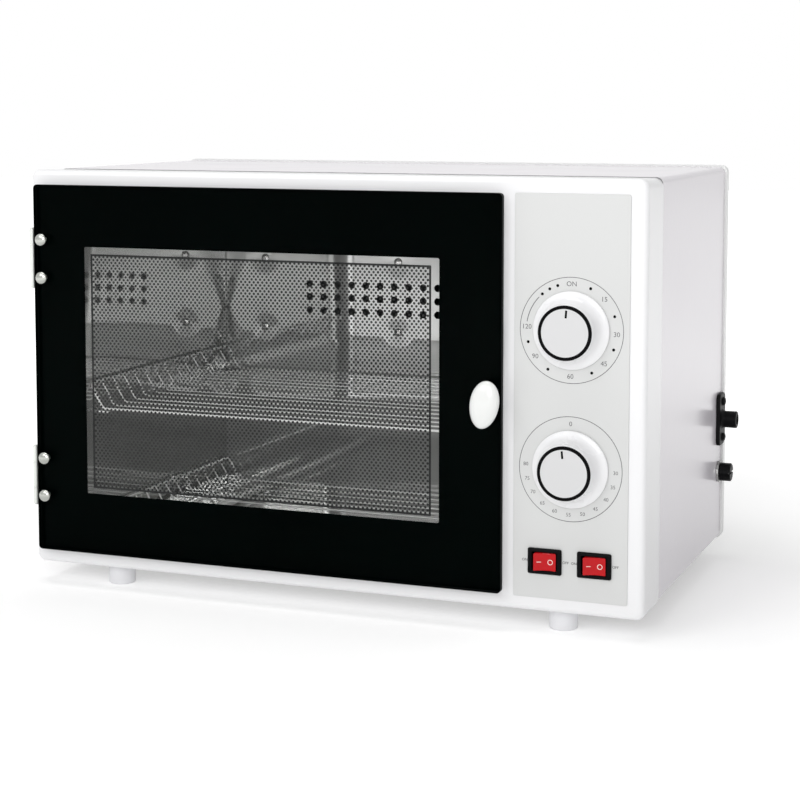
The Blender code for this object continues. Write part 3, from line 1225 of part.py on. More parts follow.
def mains_gland(builder):
    """Strain relief on the right side: a flanged plate with a bored nozzle, and its screws."""
    start = COVER_HALF + SEAT_GAP
    face = start + GLAND_PLATE_THICKNESS
    low = (FITTING_Y - GLAND_PLATE_WIDTH / 2, GLAND_HEIGHT - GLAND_PLATE_LENGTH / 2)
    high = (FITTING_Y + GLAND_PLATE_WIDTH / 2, GLAND_HEIGHT + GLAND_PLATE_LENGTH / 2)
    full = rounded_rectangle(low, high, GLAND_PLATE_RADIUS)
    eased = inset_rectangle(low, high, GLAND_EDGE, GLAND_PLATE_RADIUS - GLAND_EDGE)
    mesh = bmesh.new()
    add_loft(mesh, [loop_at("X", start, full), loop_at("X", face - GLAND_EDGE, full),
                    loop_at("X", face, eased)])
    plate = builder.piece("gland_plate", mesh, "black_plastic")
    centre = (FITTING_Y, GLAND_HEIGHT)
    tip = face + GLAND_NOZZLE_LENGTH
    neck = start - GLAND_NECK_LENGTH
    profile = [(0, neck), (GLAND_NOZZLE_RADIUS, neck), (GLAND_NOZZLE_RADIUS, tip - GLAND_EDGE),
               (GLAND_NOZZLE_RADIUS - GLAND_EDGE, tip), (0, tip)]
    nozzle = bmesh.new()
    add_turned(nozzle, "X", centre, profile, PART_SEGMENTS)
    builder.tool(plate, nozzle, "UNION")
    bores = bmesh.new()
    add_rod(bores, "X", centre, GLAND_BORE_RADIUS, neck - CUT_OVERRUN, tip + CUT_OVERRUN)
    for height in gland_screw_heights():
        add_rod(bores, "X", (FITTING_Y, height), GLAND_SCREW_SHANK_RADIUS + SEAT_GAP,
                start - CUT_OVERRUN, face + CUT_OVERRUN)
    builder.tool(plate, bores)
    seat = face + SEAT_GAP
    for name, height in zip(("gland_screw_top", "gland_screw_bottom"), gland_screw_heights()):
        profile = [(0, seat - GLAND_SCREW_LENGTH), (GLAND_SCREW_SHANK_RADIUS, seat - GLAND_SCREW_LENGTH),
                   (GLAND_SCREW_SHANK_RADIUS, seat)]
        profile += dome_profile(GLAND_SCREW_HEAD_RADIUS, seat, GLAND_SCREW_HEAD_HEIGHT, 1)
        mesh = bmesh.new()
        add_turned(mesh, "X", (FITTING_Y, height), profile, SMALL_SEGMENTS)
        builder.piece(name, mesh, "black_plastic")


def fuse_holder(builder):
    """Panel fuse holder below the gland, with its slotted bayonet cap."""
    centre = (FITTING_Y, FUSE_HEIGHT)
    start = COVER_HALF + SEAT_GAP
    face = start + FUSE_FLANGE_THICKNESS
    body_end = start - FUSE_BODY_LENGTH
    bore_end = start - FUSE_BORE_LENGTH
    profile = [(0, body_end), (FUSE_BODY_RADIUS, body_end), (FUSE_BODY_RADIUS, start),
               (FUSE_FLANGE_RADIUS, start), (FUSE_FLANGE_RADIUS, face), (FUSE_BORE_RADIUS, face),
               (FUSE_BORE_RADIUS, bore_end), (0, bore_end)]
    mesh = bmesh.new()
    add_turned(mesh, "X", centre, profile, PART_SEGMENTS)
    builder.piece("fuse_holder", mesh, "black_plastic")
    seat = face + SEAT_GAP
    tip = seat + FUSE_CAP_LENGTH
    plug = FUSE_BORE_RADIUS - RUNNING_GAP
    profile = [(0, seat - FUSE_PLUG_LENGTH), (plug, seat - FUSE_PLUG_LENGTH), (plug, seat),
               (FUSE_CAP_RADIUS, seat), (FUSE_CAP_RADIUS, tip - FUSE_CAP_EDGE),
               (FUSE_CAP_RADIUS - FUSE_CAP_EDGE, tip), (0, tip)]
    mesh = bmesh.new()
    add_turned(mesh, "X", centre, profile, PART_SEGMENTS)
    cap = builder.piece("fuse_cap", mesh, "black_plastic", (seat, *centre))
    groove = bmesh.new()
    reach = FUSE_CAP_RADIUS + CUT_OVERRUN
    add_box(groove, (tip - FUSE_SLOT_DEPTH, FITTING_Y - reach, FUSE_HEIGHT - FUSE_SLOT_WIDTH / 2),
            (tip + CUT_OVERRUN, FITTING_Y + reach, FUSE_HEIGHT + FUSE_SLOT_WIDTH / 2))
    builder.tool(cap, groove)


def build():
    """Models the whole part."""
    for existing in list(bpy.data.objects):
        bpy.data.objects.remove(existing, do_unlink=True)
    builder = Builder()
    bezel_frame(builder)
    outer_cover(builder)
    base_plate(builder)
    rear_panel(builder)
    feet(builder)
    chamber_liner(builder)
    chamber_back(builder)
    racks(builder)
    lamp(builder)
    heater(builder)
    ballast(builder)
    starter(builder)
    control_body(builder, "timer_body", TIMER_HEIGHT, TIMER_BODY_SIZE, TIMER_BODY_DEPTH)
    control_body(builder, "thermostat_body", THERMOSTAT_HEIGHT, THERMOSTAT_BODY_SIZE,
                 THERMOSTAT_BODY_DEPTH)
    control_overlay(builder)
    knob(builder, "timer", TIMER_HEIGHT)
    knob(builder, "thermostat", THERMOSTAT_HEIGHT)
    for name, centre in switch_centres().items():
        rocker_switch(builder, name, centre)
    door_glass(builder)
    door_print(builder)
    door_handle(builder)
    door_seal(builder)
    door_catch(builder)
    for name, height in hinge_heights().items():
        hinge(builder, name, height)
    hinge_screws(builder)
    mains_gland(builder)
    fuse_holder(builder)


build()
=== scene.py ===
"""A countertop UV sterilizer: white cabinet, black-bordered glass door, bright steel chamber."""
import math

import bmesh
import bpy
from mathutils import Matrix, Vector


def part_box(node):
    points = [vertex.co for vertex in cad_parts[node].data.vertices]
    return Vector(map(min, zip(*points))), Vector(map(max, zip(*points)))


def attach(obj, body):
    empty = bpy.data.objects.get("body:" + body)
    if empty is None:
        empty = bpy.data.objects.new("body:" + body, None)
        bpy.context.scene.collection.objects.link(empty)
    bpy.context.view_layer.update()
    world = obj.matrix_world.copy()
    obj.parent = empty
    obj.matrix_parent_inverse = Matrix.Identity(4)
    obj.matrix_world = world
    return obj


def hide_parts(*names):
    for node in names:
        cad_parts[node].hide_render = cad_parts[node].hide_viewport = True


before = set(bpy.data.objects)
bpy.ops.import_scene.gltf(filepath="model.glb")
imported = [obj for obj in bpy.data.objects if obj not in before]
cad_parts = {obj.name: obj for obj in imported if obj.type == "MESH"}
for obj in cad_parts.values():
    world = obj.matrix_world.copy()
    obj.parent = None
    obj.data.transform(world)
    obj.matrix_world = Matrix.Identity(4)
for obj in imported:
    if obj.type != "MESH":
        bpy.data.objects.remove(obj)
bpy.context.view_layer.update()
bpy.context.scene.view_settings.view_transform = "Standard"

# View and studio. The camera stands a little right of the cabinet's middle and above it, turned
# to its left. A wide key lamp on the left, one in front, a weak fill on the right, one overhead
# and an even white room light the cabinet. The floor is white with a soft shadow.
case_low, case_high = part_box("front_frame")
case_middle = (case_low.x + case_high.x) / 2


def at(x, y, z):
    """A point from its place right of the bezel's middle, behind its face and above its foot."""
    return Vector((case_middle + x, case_low.y + y, case_low.z + z))


def into_scene(name, data):
    """A scene object made from its data."""
    made = bpy.data.objects.new(name, data)
    bpy.context.scene.collection.objects.link(made)
    return made


camera_data = bpy.data.cameras.new("studio_camera")
camera_data.sensor_width = 36
camera_data.lens = 83.97
camera_data.shift_y = -0.169
camera = into_scene("studio_camera", camera_data)
camera.location = at(0.5002, -1.1487, 0.3324)
camera_turn = math.radians(21.07)
camera_pitch = math.radians(5)
camera.rotation_euler = (math.radians(90) - camera_pitch, 0, camera_turn)
bpy.context.scene.camera = camera


def wire_up(tree, *pairs):
    """Joins node sockets pair by pair."""
    for source, target in pairs:
        tree.links.new(source, target)


def sum_up(tree, operation, first, second):
    """A sum in a node tree; each input is a socket or a number."""
    node = tree.nodes.new("ShaderNodeMath")
    node.operation = operation
    for socket, value in zip(node.inputs, (first, second)):
        if isinstance(value, (int, float)):
            socket.default_value = value
        else:
            tree.links.new(value, socket)
    return node.outputs[0]


def mix_range(tree, factor, low, high, start=0.0, end=1.0, smooth=False):
    """A number that goes from low to high while a factor goes from its start to its end."""
    ramp = tree.nodes.new("ShaderNodeMapRange")
    for label, value in (("From Min", start), ("From Max", end), ("To Min", low), ("To Max", high)):
        ramp.inputs[label].default_value = value
    if smooth:
        ramp.interpolation_type = "SMOOTHSTEP"
    tree.links.new(factor, ramp.inputs["Value"])
    return ramp.outputs["Result"]


def seen_or_lit(tree, lighting):
    """One where the background is seen, mirrored or through glass, and less where it lights."""
    path = tree.nodes.new("ShaderNodeLightPath")
    seen = sum_up(tree, "MAXIMUM", path.outputs["Is Camera Ray"], path.outputs["Is Glossy Ray"])
    seen = sum_up(tree, "MAXIMUM", seen, path.outputs["Is Transmission Ray"])
    return mix_range(tree, seen, lighting, 1.0)


def paint(name, colour, roughness, metallic=0.0, **extra):
    """A Principled finish of one colour; extra sockets are named with underscores for spaces."""
    made = bpy.data.materials.new(name)
    made.use_nodes = True
    shader = made.node_tree.nodes["Principled BSDF"]
    shader.inputs["Base Color"].default_value = (*colour, 1.0)
    shader.inputs["Roughness"].default_value = roughness
    shader.inputs["Metallic"].default_value = metallic
    for socket, value in extra.items():
        shader.inputs[socket.replace("_", " ")].default_value = value
    return made


world = bpy.data.worlds.new("white_room")
bpy.context.scene.world = world
world.use_nodes = True
room_light = world.node_tree.nodes["Background"]
room_light.inputs["Color"].default_value = (1.0, 1.0, 1.0, 1.0)
wire_up(world.node_tree, (seen_or_lit(world.node_tree, 0.34), room_light.inputs["Strength"]))

floor_mesh = bmesh.new()
bmesh.ops.create_grid(floor_mesh, x_segments=1, y_segments=1, size=6)
floor_data = bpy.data.meshes.new("studio_floor")
floor_mesh.to_mesh(floor_data)
floor_mesh.free()
floor = into_scene("studio_floor", floor_data)
floor_paint = paint("floor_paint", (0.86, 0.86, 0.86), 0.9, Specular_IOR_Level=0.0,
                    Emission_Color=(1.0, 1.0, 1.0, 1.0))
floor_tree = floor_paint.node_tree
floor_space = floor_tree.nodes.new("ShaderNodeTexCoord")
floor_reach = floor_tree.nodes.new("ShaderNodeVectorMath")
floor_reach.operation = "LENGTH"
floor_fade = mix_range(floor_tree, floor_reach.outputs["Value"], 0.32, 1.0, 0.3, 1.2)
floor_glow = sum_up(floor_tree, "MULTIPLY", floor_fade, seen_or_lit(floor_tree, 0.60))
wire_up(floor_tree, (floor_space.outputs["Object"], floor_reach.inputs[0]),
        (floor_glow, floor_tree.nodes["Principled BSDF"].inputs["Emission Strength"]))
floor_data.materials.append(floor_paint)


def add_lamp(name, place, aim, width, power):
    """A square soft lamp turned towards a point."""
    light = bpy.data.lights.new(name, "AREA")
    light.shape = "SQUARE"
    light.size = width
    light.energy = power
    lamp = into_scene(name, light)
    lamp.location = place
    lamp.rotation_euler = (Vector(aim) - Vector(place)).to_track_quat("-Z", "Y").to_euler()


add_lamp("key_lamp", (-0.9, -2.0, 1.5), (0, 0, 0.12), 1.2, 11)
add_lamp("front_lamp", (0.5, -2.1, 0.9), (0, 0, 0.10), 1.1, 16)
add_lamp("fill_lamp", (1.8, -1.0, 1.1), (0, 0, 0.15), 1.5, 0.2)
add_lamp("top_lamp", (-0.2, -0.3, 2.2), (0, 0, 0.2), 1.2, 15)

# Bezel. A deep gloss-white plastic moulding that wraps the cabinet's front. Its edges are
# rounded all round and its top falls a little to the rear. The chamber's mouth, two shaft holes
# and two switch cut-outs are cut through its face.
def object_noise(made, scale, detail):
    """Noise over the piece's own space."""
    nodes = made.node_tree.nodes
    space = nodes.new("ShaderNodeTexCoord")
    noise = nodes.new("ShaderNodeTexNoise")
    noise.inputs["Scale"].default_value = scale
    noise.inputs["Detail"].default_value = detail
    made.node_tree.links.new(space.outputs["Object"], noise.inputs["Vector"])
    return noise.outputs["Fac"]


def add_bump(made, height, depth):
    """Relief from a height socket, added to any relief that a finish already has."""
    tree = made.node_tree
    bump = tree.nodes.new("ShaderNodeBump")
    bump.inputs["Distance"].default_value = depth
    normal = tree.nodes["Principled BSDF"].inputs["Normal"]
    if normal.is_linked:
        tree.links.new(normal.links[0].from_socket, bump.inputs["Normal"])
    wire_up(tree, (height, bump.inputs["Height"]), (bump.outputs["Normal"], normal))


def add_relief(made, scale, depth, detail=2.0):
    """Fine uneven relief over a finish."""
    add_bump(made, object_noise(made, scale, detail), depth)


def add_variation(made, scale, low, high, detail=3.0):
    """Roughness that drifts between two values over the surface."""
    tree = made.node_tree
    rough = mix_range(tree, object_noise(made, scale, detail), low, high)
    tree.links.new(rough, tree.nodes["Principled BSDF"].inputs["Roughness"])


def add_shading(made, scale, first, second, detail=4.0):
    """Base colour that drifts between two tones over the surface."""
    tree = made.node_tree
    ramp = tree.nodes.new("ShaderNodeValToRGB")
    for element, position, tone in zip(ramp.color_ramp.elements, (0.35, 0.65), (first, second)):
        element.position = position
        element.color = (*tone, 1.0)
    wire_up(tree, (object_noise(made, scale, detail), ramp.inputs["Fac"]),
            (ramp.outputs["Color"], tree.nodes["Principled BSDF"].inputs["Base Color"]))


bezel_plastic = paint("bezel_gloss_white", (0.84, 0.84, 0.85), 0.28,
                      Coat_Weight=0.25, Coat_Roughness=0.08)
add_variation(bezel_plastic, 9.0, 0.24, 0.34)
add_relief(bezel_plastic, 900.0, 0.00004)
add_relief(bezel_plastic, 14.0, 0.0003)


def outline(low, high, radius, steps=8):
    """Points of a rectangle with round corners, from its low and high corner."""
    corners = ((high[0] - radius, low[1] + radius, -90), (high[0] - radius, high[1] - radius, 0),
               (low[0] + radius, high[1] - radius, 90), (low[0] + radius, low[1] + radius, 180))
    points = []
    for centre_x, centre_z, start in corners:
        for step in range(steps + 1):
            turn = math.radians(start + 90 * step / steps)
            points.append((centre_x + radius * math.cos(turn), centre_z + radius * math.sin(turn)))
    return points


def inset(low, high, amount, radius, steps=8):
    """The same outline drawn in on all sides."""
    return outline((low[0] + amount, low[1] + amount), (high[0] - amount, high[1] - amount),
                   radius, steps)


def around(centre, half):
    """The low and high corner of a rectangle about its centre."""
    return ((centre[0] - half[0], centre[1] - half[1]), (centre[0] + half[0], centre[1] + half[1]))


def lay(axis, along, points):
    """Outline points set across an axis at one distance along it, in the cabinet's frame."""
    if axis == "X":
        return [at(along, first, second) for first, second in points]
    if axis == "Y":
        return [at(first, along, second) for first, second in points]
    return [at(first, second, along) for first, second in points]


def skin(mesh, loops, closed=False):
    """Faces through loops of points, with capped ends or joined into a ring."""
    rows = [[mesh.verts.new(point) for point in loop] for loop in loops]
    pairs = list(zip(rows, rows[1:]))
    if closed:
        pairs.append((rows[-1], rows[0]))
    for near, far in pairs:
        count = max(len(near), len(far))
        for index in range(count):
            after = (index + 1) % count
            corners = (near[index % len(near)], near[after % len(near)],
                       far[after % len(far)], far[index % len(far)])
            mesh.faces.new(dict.fromkeys(corners))
    if not closed:
        for row in (rows[0], rows[-1]):
            if len(row) > 2:
                mesh.faces.new(row)


def prism(mesh, shape, start, end):
    """A straight block of one outline from front to back."""
    skin(mesh, [lay("Y", start, shape), lay("Y", end, shape)])


def rolled_edge(face, side, low, high, radius, corner, steps):
    """Outlines that carry a panel's sides round a soft edge onto its face."""
    loops = []
    for step in range(steps + 1):
        turn = math.radians(90 * step / steps)
        drawn_in = radius * (1 - math.cos(turn))
        loops.append(lay("Y", face + side * radius * (1 - math.sin(turn)),
                         inset(low, high, drawn_in, corner - drawn_in)))
    return loops


def turn_profile(mesh, axis, centre, profile, segments=48):
    """A profile of radius and distance along an axis, turned about that axis."""
    loops = []
    for radius, along in profile:
        ring = [(centre[0] + radius * math.cos(math.tau * step / segments),
                 centre[1] + radius * math.sin(math.tau * step / segments))
                for step in range(segments)] if radius else [centre]
        loops.append(lay(axis, along, ring))
    skin(mesh, loops)


def rod(mesh, axis, centre, radius, start, end, segments=48):
    """A plain round bar or cutter."""
    profile = ((0, start), (radius, start), (radius, end), (0, end))
    turn_profile(mesh, axis, centre, profile, segments)


def arc(centre, radius, start, end, steps):
    """Points of an arc in a profile, from one angle in degrees to another."""
    turns = [math.radians(start + (end - start) * step / steps) for step in range(steps + 1)]
    return [(centre[0] + radius * math.cos(turn), centre[1] + radius * math.sin(turn))
            for turn in turns]


def raw_object(name, mesh, finish=None):
    """A scene object from a finished mesh, with its faces turned outwards."""
    bmesh.ops.recalc_face_normals(mesh, faces=mesh.faces)
    data = bpy.data.meshes.new(name)
    mesh.to_mesh(data)
    mesh.free()
    if finish:
        data.materials.append(finish)
    return into_scene(name, data)


def settle(made):
    """The piece as its modifiers leave it, in a plain mesh."""
    bpy.context.view_layer.update()
    graph = bpy.context.evaluated_depsgraph_get()
    data = bpy.data.meshes.new_from_object(made.evaluated_get(graph), preserve_all_data_layers=True,
                                           depsgraph=graph)
    made.modifiers.clear()
    made.data = data
    return made


def cut(made, cutter):
    """Takes a cutter's shape out of a piece."""
    boolean = made.modifiers.new("cut", "BOOLEAN")
    boolean.solver = "EXACT"
    boolean.object = cutter
    settle(made)
    bpy.data.objects.remove(cutter)
    return made


def dress(made, body, nodes=(), angle=35):
    """Smooths a finished piece, hangs it on its body and lets it stand for CAD nodes."""
    made.data.shade_smooth()
    made.data.set_sharp_from_angle(angle=math.radians(angle))
    weighted = made.modifiers.new("weighted", "WEIGHTED_NORMAL")
    weighted.keep_sharp = True
    settle(made)
    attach(made, body)
    for node in nodes:
        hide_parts(node)
    return made


def keep(node, finish):
    """Gives a CAD node that stays its finish."""
    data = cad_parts[node].data
    data.materials.clear()
    data.materials.append(finish)


CASE_HALF = 0.225
CASE_TALL = 0.284
BEZEL_DEEP = 0.0407
BEZEL_WALL = 0.003
BEZEL_CORNER = 0.006
BEZEL_ROUND = 0.004
BEZEL_EDGE = 0.0004
BEZEL_DRAFT = 0.0009
MOUTH_LOW = (-0.185, 0.0165)
MOUTH_HIGH = (0.105, 0.2675)
MOUTH_CORNER = 0.004
DIAL_X = 0.1757
DIAL_HEIGHTS = {"timer": 0.18619, "thermostat": 0.09599}
SHAFT_HOLE = 0.0045
SWITCH_Z = 0.03419
SWITCH_XS = {"uv": 0.1591, "warmer": 0.1923}
SWITCH_HOLE = (0.0096, 0.0074)
FACE_CUT = (-0.002, 0.005)


def control_cutters(mesh, start, end):
    """Cutters for two dial shafts and two switches."""
    for height in DIAL_HEIGHTS.values():
        rod(mesh, "Y", (DIAL_X, height), SHAFT_HOLE, start, end)
    for centre in SWITCH_XS.values():
        prism(mesh, outline(*around((centre, SWITCH_Z), SWITCH_HOLE), 0.001, 3), start, end)


low, high = (-CASE_HALF, 0), (CASE_HALF, CASE_TALL)
rear_high = (CASE_HALF, CASE_TALL - BEZEL_DRAFT)
inner_corner = BEZEL_CORNER - BEZEL_WALL
inside = inset(low, rear_high, BEZEL_WALL, inner_corner)
lip = inset(low, rear_high, BEZEL_WALL - BEZEL_EDGE, inner_corner + BEZEL_EDGE)
mesh = bmesh.new()
skin(mesh, [lay("Y", BEZEL_WALL, inside), lay("Y", BEZEL_DEEP - BEZEL_EDGE, inside),
            lay("Y", BEZEL_DEEP, lip),
            lay("Y", BEZEL_DEEP, inset(low, rear_high, BEZEL_EDGE, BEZEL_CORNER - BEZEL_EDGE)),
            lay("Y", BEZEL_DEEP - BEZEL_EDGE, outline(low, rear_high, BEZEL_CORNER)),
            *rolled_edge(0, 1, low, high, BEZEL_ROUND, BEZEL_CORNER, 8)])
bezel = raw_object("bezel_moulding", mesh, bezel_plastic)
mesh = bmesh.new()
prism(mesh, outline(MOUTH_LOW, MOUTH_HIGH, MOUTH_CORNER), *FACE_CUT)
control_cutters(mesh, *FACE_CUT)
cut(bezel, raw_object("cutter", mesh))
dress(bezel, "cabinet", ["front_frame"])

# Outer cover. One enamelled steel sheet folded over both sides and the top, half a millimetre
# inside the bezel, with its lower edges turned in under the base. Its cut front edge is dark grey,
# partly bare steel and partly painted shade for the gap behind the bezel, and shows as a thin dark
# line there. The mains fittings pass through its right side.
COVER_HALF = 0.2245
COVER_TOP = 0.2835
COVER_LOW = 0.002
COVER_FRONT = BEZEL_DEEP + 0.0003
COVER_REAR = 0.2524
COVER_SHEET = 0.001
COVER_BEND = 0.004
COVER_RETURN = 0.010
COVER_STEP = 0.0005
RIM_FRONT = 0.2453
FITTING_Y = 0.234
GLAND_Z = 0.0946
GLAND_SCREW_RISE = 0.0135
FUSE_Z = 0.0544
SIDE_HOLES = ((GLAND_Z, 0.0067, 48), (FUSE_Z, 0.0063, 48),
              (GLAND_Z - GLAND_SCREW_RISE, 0.0017, 24), (GLAND_Z + GLAND_SCREW_RISE, 0.0017, 24))
SIDE_CUT = (0.221, 0.226)
# The cover is a greyer lavender than the bezel's white: partly its own enamel, partly painted shade
# for its dimmer sides.
cover_enamel_shaded = paint("cover_white_and_painted_shade", (0.72, 0.69, 0.73), 0.24,
                     Coat_Weight=0.15, Coat_Roughness=0.12)
add_variation(cover_enamel_shaded, 12.0, 0.20, 0.30)
add_relief(cover_enamel_shaded, 260.0, 0.00006, 3.0)
add_relief(cover_enamel_shaded, 5.0, 0.0009, 1.0)
# Painted shade: the cover's front edge is dark grey, so the gap behind the bezel reads as a dark
# line.
edge_painted_shade = paint("cover_edge_painted_shade", (0.22, 0.22, 0.225), 0.55, 0.6)
add_shading(edge_painted_shade, 300.0, (0.19, 0.19, 0.195), (0.26, 0.26, 0.265))


def cover_contour(depth, drop):
    """The fold of the cover, seen from the front, drawn in by its sheet and by its rear step."""
    side, top, foot = COVER_HALF - depth - drop, COVER_TOP - depth - drop, COVER_LOW + depth
    return [(COVER_HALF - COVER_RETURN, foot),
            *outline((-side, foot), (side, top), COVER_BEND - depth),
            (COVER_RETURN - COVER_HALF, foot)]


def coat_faces(made, finish, chosen):
    """Gives a second finish to the faces that a test picks out."""
    made.data.materials.append(finish)
    for face in made.data.polygons:
        if chosen(face):
            face.material_index = 1


stations = [(COVER_FRONT, 0), (RIM_FRONT - 0.001, 0), (RIM_FRONT - 0.0003, COVER_STEP),
            (COVER_REAR, COVER_STEP)]
path = [(depth, cover_contour(0, drop)) for depth, drop in stations]
path += [(depth, cover_contour(COVER_SHEET, drop)) for depth, drop in reversed(stations)]
mesh = bmesh.new()
skin(mesh, [[at(points[index][0], depth, points[index][1]) for depth, points in path]
            for index in range(len(path[0][1]))])
cover = raw_object("cover_sheet", mesh, cover_enamel_shaded)
mesh = bmesh.new()
for height, radius, segments in SIDE_HOLES:
    rod(mesh, "X", (FITTING_Y, height), radius, *SIDE_CUT, segments)
cut(cover, raw_object("cutter", mesh))
coat_faces(cover, edge_painted_shade, lambda face: face.center.y < at(0, COVER_FRONT + 0.0001, 0).y)
dress(cover, "cabinet", ["outer_cover"])

# Rear panel. A dished steel panel whose rim laps over the cover's rear edge. Two blocks of slots
# let the chamber and the control column breathe through black foam pads, and six domed screws hold
# it. Its inner face is painted near black: painted shade for the dark inside the cabinet.
REAR_FACE = 0.2537
REAR_HALF = 0.2258
REAR_LOW, REAR_HIGH = 0.0007, 0.2848
REAR_CORNER = 0.0053
REAR_ROUND = 0.0009
RIM_SIDE, RIM_FOOT = 0.0015, 0.001
DISH_FACE = 0.2527
DISH_CORNER = 0.0043
SCREW_CORNER = (0.014 - REAR_HALF, REAR_LOW + 0.014)
SCREW_RADIUS, SCREW_CROWN = 0.0034, 0.0016
CROSS_ARMS = ((0.0021, 0.0004), (0.0004, 0.0021))
CROSS_CUT = (REAR_FACE + 0.0006, REAR_FACE + 0.003)
VENT_XS = (DIAL_X, -0.040)
VENT_Z = 0.17421
SLOT_HALF = (0.029, 0.0017)
SLOT_CUT = (0.2505, 0.256)
SLOTS, SLOT_PITCH = 7, 0.010
PAD_HALF = (0.033, 0.037)
PAD_DEEP = 0.0035
PAD_EDGE = 0.0006
PAD_CORNER = 0.0026
rear_enamel = paint("rear_enamel", (0.83, 0.84, 0.83), 0.34, Coat_Weight=0.15, Coat_Roughness=0.2)
add_variation(rear_enamel, 10.0, 0.30, 0.42)
add_relief(rear_enamel, 320.0, 0.00006, 3.0)
screw_zinc = paint("screw_zinc", (0.60, 0.60, 0.58), 0.32, 1.0)
add_variation(screw_zinc, 220.0, 0.26, 0.42)


def new_tree(name, inputs):
    """A Geometry Nodes tree with named inputs: its group, its input node and its geometry."""
    tree = bpy.data.node_groups.new(name, "GeometryNodeTree")
    tree.interface.new_socket(name="Geometry", in_out="INPUT", socket_type="NodeSocketGeometry")
    tree.interface.new_socket(name="Geometry", in_out="OUTPUT", socket_type="NodeSocketGeometry")
    for label, kind in inputs.items():
        tree.interface.new_socket(name=label, in_out="INPUT", socket_type=f"NodeSocket{kind}")
    return tree, tree.nodes.new("NodeGroupInput"), tree.nodes.new("NodeGroupOutput")


def grow(made, tree, values):
    """Runs a tree on a piece with its inputs set, and keeps the result as a plain mesh."""
    modifier = made.modifiers.new(tree.name, "NODES")
    modifier.node_group = tree
    sockets = {item.name: item.identifier for item in tree.interface.items_tree
               if item.in_out == "INPUT"}
    for label, value in values.items():
        modifier[sockets[label]] = value
    return settle(made)


array_tree, array_in, array_out = new_tree("repeated_piece", {
    "Columns": "Int", "Rows": "Int", "Column step": "Vector", "Row step": "Vector",
    "Finish": "Material"})
column_line = array_tree.nodes.new("GeometryNodeMeshLine")
row_line = array_tree.nodes.new("GeometryNodeMeshLine")
along_rows = array_tree.nodes.new("GeometryNodeInstanceOnPoints")
along_columns = array_tree.nodes.new("GeometryNodeInstanceOnPoints")
made_real = array_tree.nodes.new("GeometryNodeRealizeInstances")
given_finish = array_tree.nodes.new("GeometryNodeSetMaterial")
wire_up(array_tree,
        (array_in.outputs["Columns"], column_line.inputs["Count"]),
        (array_in.outputs["Column step"], column_line.inputs["Offset"]),
        (array_in.outputs["Rows"], row_line.inputs["Count"]),
        (array_in.outputs["Row step"], row_line.inputs["Offset"]),
        (row_line.outputs["Mesh"], along_rows.inputs["Points"]),
        (array_in.outputs["Geometry"], along_rows.inputs["Instance"]),
        (column_line.outputs["Mesh"], along_columns.inputs["Points"]),
        (along_rows.outputs["Instances"], along_columns.inputs["Instance"]),
        (along_columns.outputs["Instances"], made_real.inputs["Geometry"]),
        (made_real.outputs["Geometry"], given_finish.inputs["Geometry"]),
        (array_in.outputs["Finish"], given_finish.inputs["Material"]),
        (given_finish.outputs["Geometry"], array_out.inputs["Geometry"]))


def repeat(made, finish, columns, column_step, rows=1, row_step=(0, 0, 0)):
    """Repeats a piece in columns and rows."""
    return grow(made, array_tree, {"Columns": columns, "Rows": rows, "Column step": column_step,
                                   "Row step": row_step, "Finish": finish})


low, high = (-REAR_HALF, REAR_LOW), (REAR_HALF, REAR_HIGH)
dish = outline((low[0] + RIM_SIDE, low[1] + RIM_FOOT), (high[0] - RIM_SIDE, high[1] - RIM_SIDE),
               DISH_CORNER)
mesh = bmesh.new()
skin(mesh, [lay("Y", DISH_FACE, dish), lay("Y", RIM_FRONT, dish),
            lay("Y", RIM_FRONT, outline(low, high, REAR_CORNER)),
            *rolled_edge(REAR_FACE, -1, low, high, REAR_ROUND, REAR_CORNER, 6)])
rear = raw_object("rear_dish", mesh, rear_enamel)
for centre in VENT_XS:
    lowest = (centre, VENT_Z - SLOT_PITCH * (SLOTS - 1) / 2)
    mesh = bmesh.new()
    prism(mesh, outline(*around(lowest, SLOT_HALF), 0.0016, 6), *SLOT_CUT)
    cut(rear, repeat(raw_object("slot_cutter", mesh), rear_enamel, SLOTS, (0, 0, SLOT_PITCH)))
# Painted shade: the panel's inner face is near black, standing in for the dark inside the cabinet.
inner_face_shade = paint("inside_painted_shade", (0.030, 0.030, 0.032), 0.7)
add_shading(inner_face_shade, 60.0, (0.024, 0.024, 0.026), (0.040, 0.040, 0.042))
coat_faces(rear, inner_face_shade, lambda face: face.normal.y < -0.9 and face.center.y > at(0, 0.2520, 0).y)
dress(rear, "cabinet", ["rear_panel"])

# Painted shade in part: the pads are near black, partly the foam's own colour and partly shade seen
# through the chamber's holes.
foam_black_and_shade = paint("foam_black_and_shade", (0.012, 0.012, 0.013), 0.9)
add_shading(foam_black_and_shade, 700.0, (0.006, 0.006, 0.007), (0.020, 0.020, 0.021))
add_relief(foam_black_and_shade, 900.0, 0.0004)
mesh = bmesh.new()
for centre in VENT_XS:
    low, high = around((centre, VENT_Z), PAD_HALF)
    pad = outline(low, high, PAD_CORNER)
    skin(mesh, [lay("Y", DISH_FACE - PAD_DEEP, inset(low, high, PAD_EDGE, PAD_CORNER - PAD_EDGE)),
                lay("Y", DISH_FACE - PAD_DEEP + PAD_EDGE, pad), lay("Y", DISH_FACE, pad)])
dress(raw_object("vent_filters", mesh, foam_black_and_shade), "cabinet")


def screw_head(mesh, axis, centre, radius, seat, crown, direction):
    """A domed screw head on its seat, with a low straight rim."""
    rim = 0.12
    profile = [(0, seat), (radius * 0.94, seat), (radius, seat + direction * crown * rim)]
    for step in range(1, 8):
        turn = math.radians(90 * step / 8)
        profile.append((radius * math.cos(turn),
                        seat + direction * crown * (rim + (1 - rim) * math.sin(turn))))
    profile.append((0, seat + direction * crown))
    turn_profile(mesh, axis, centre, profile, 40)


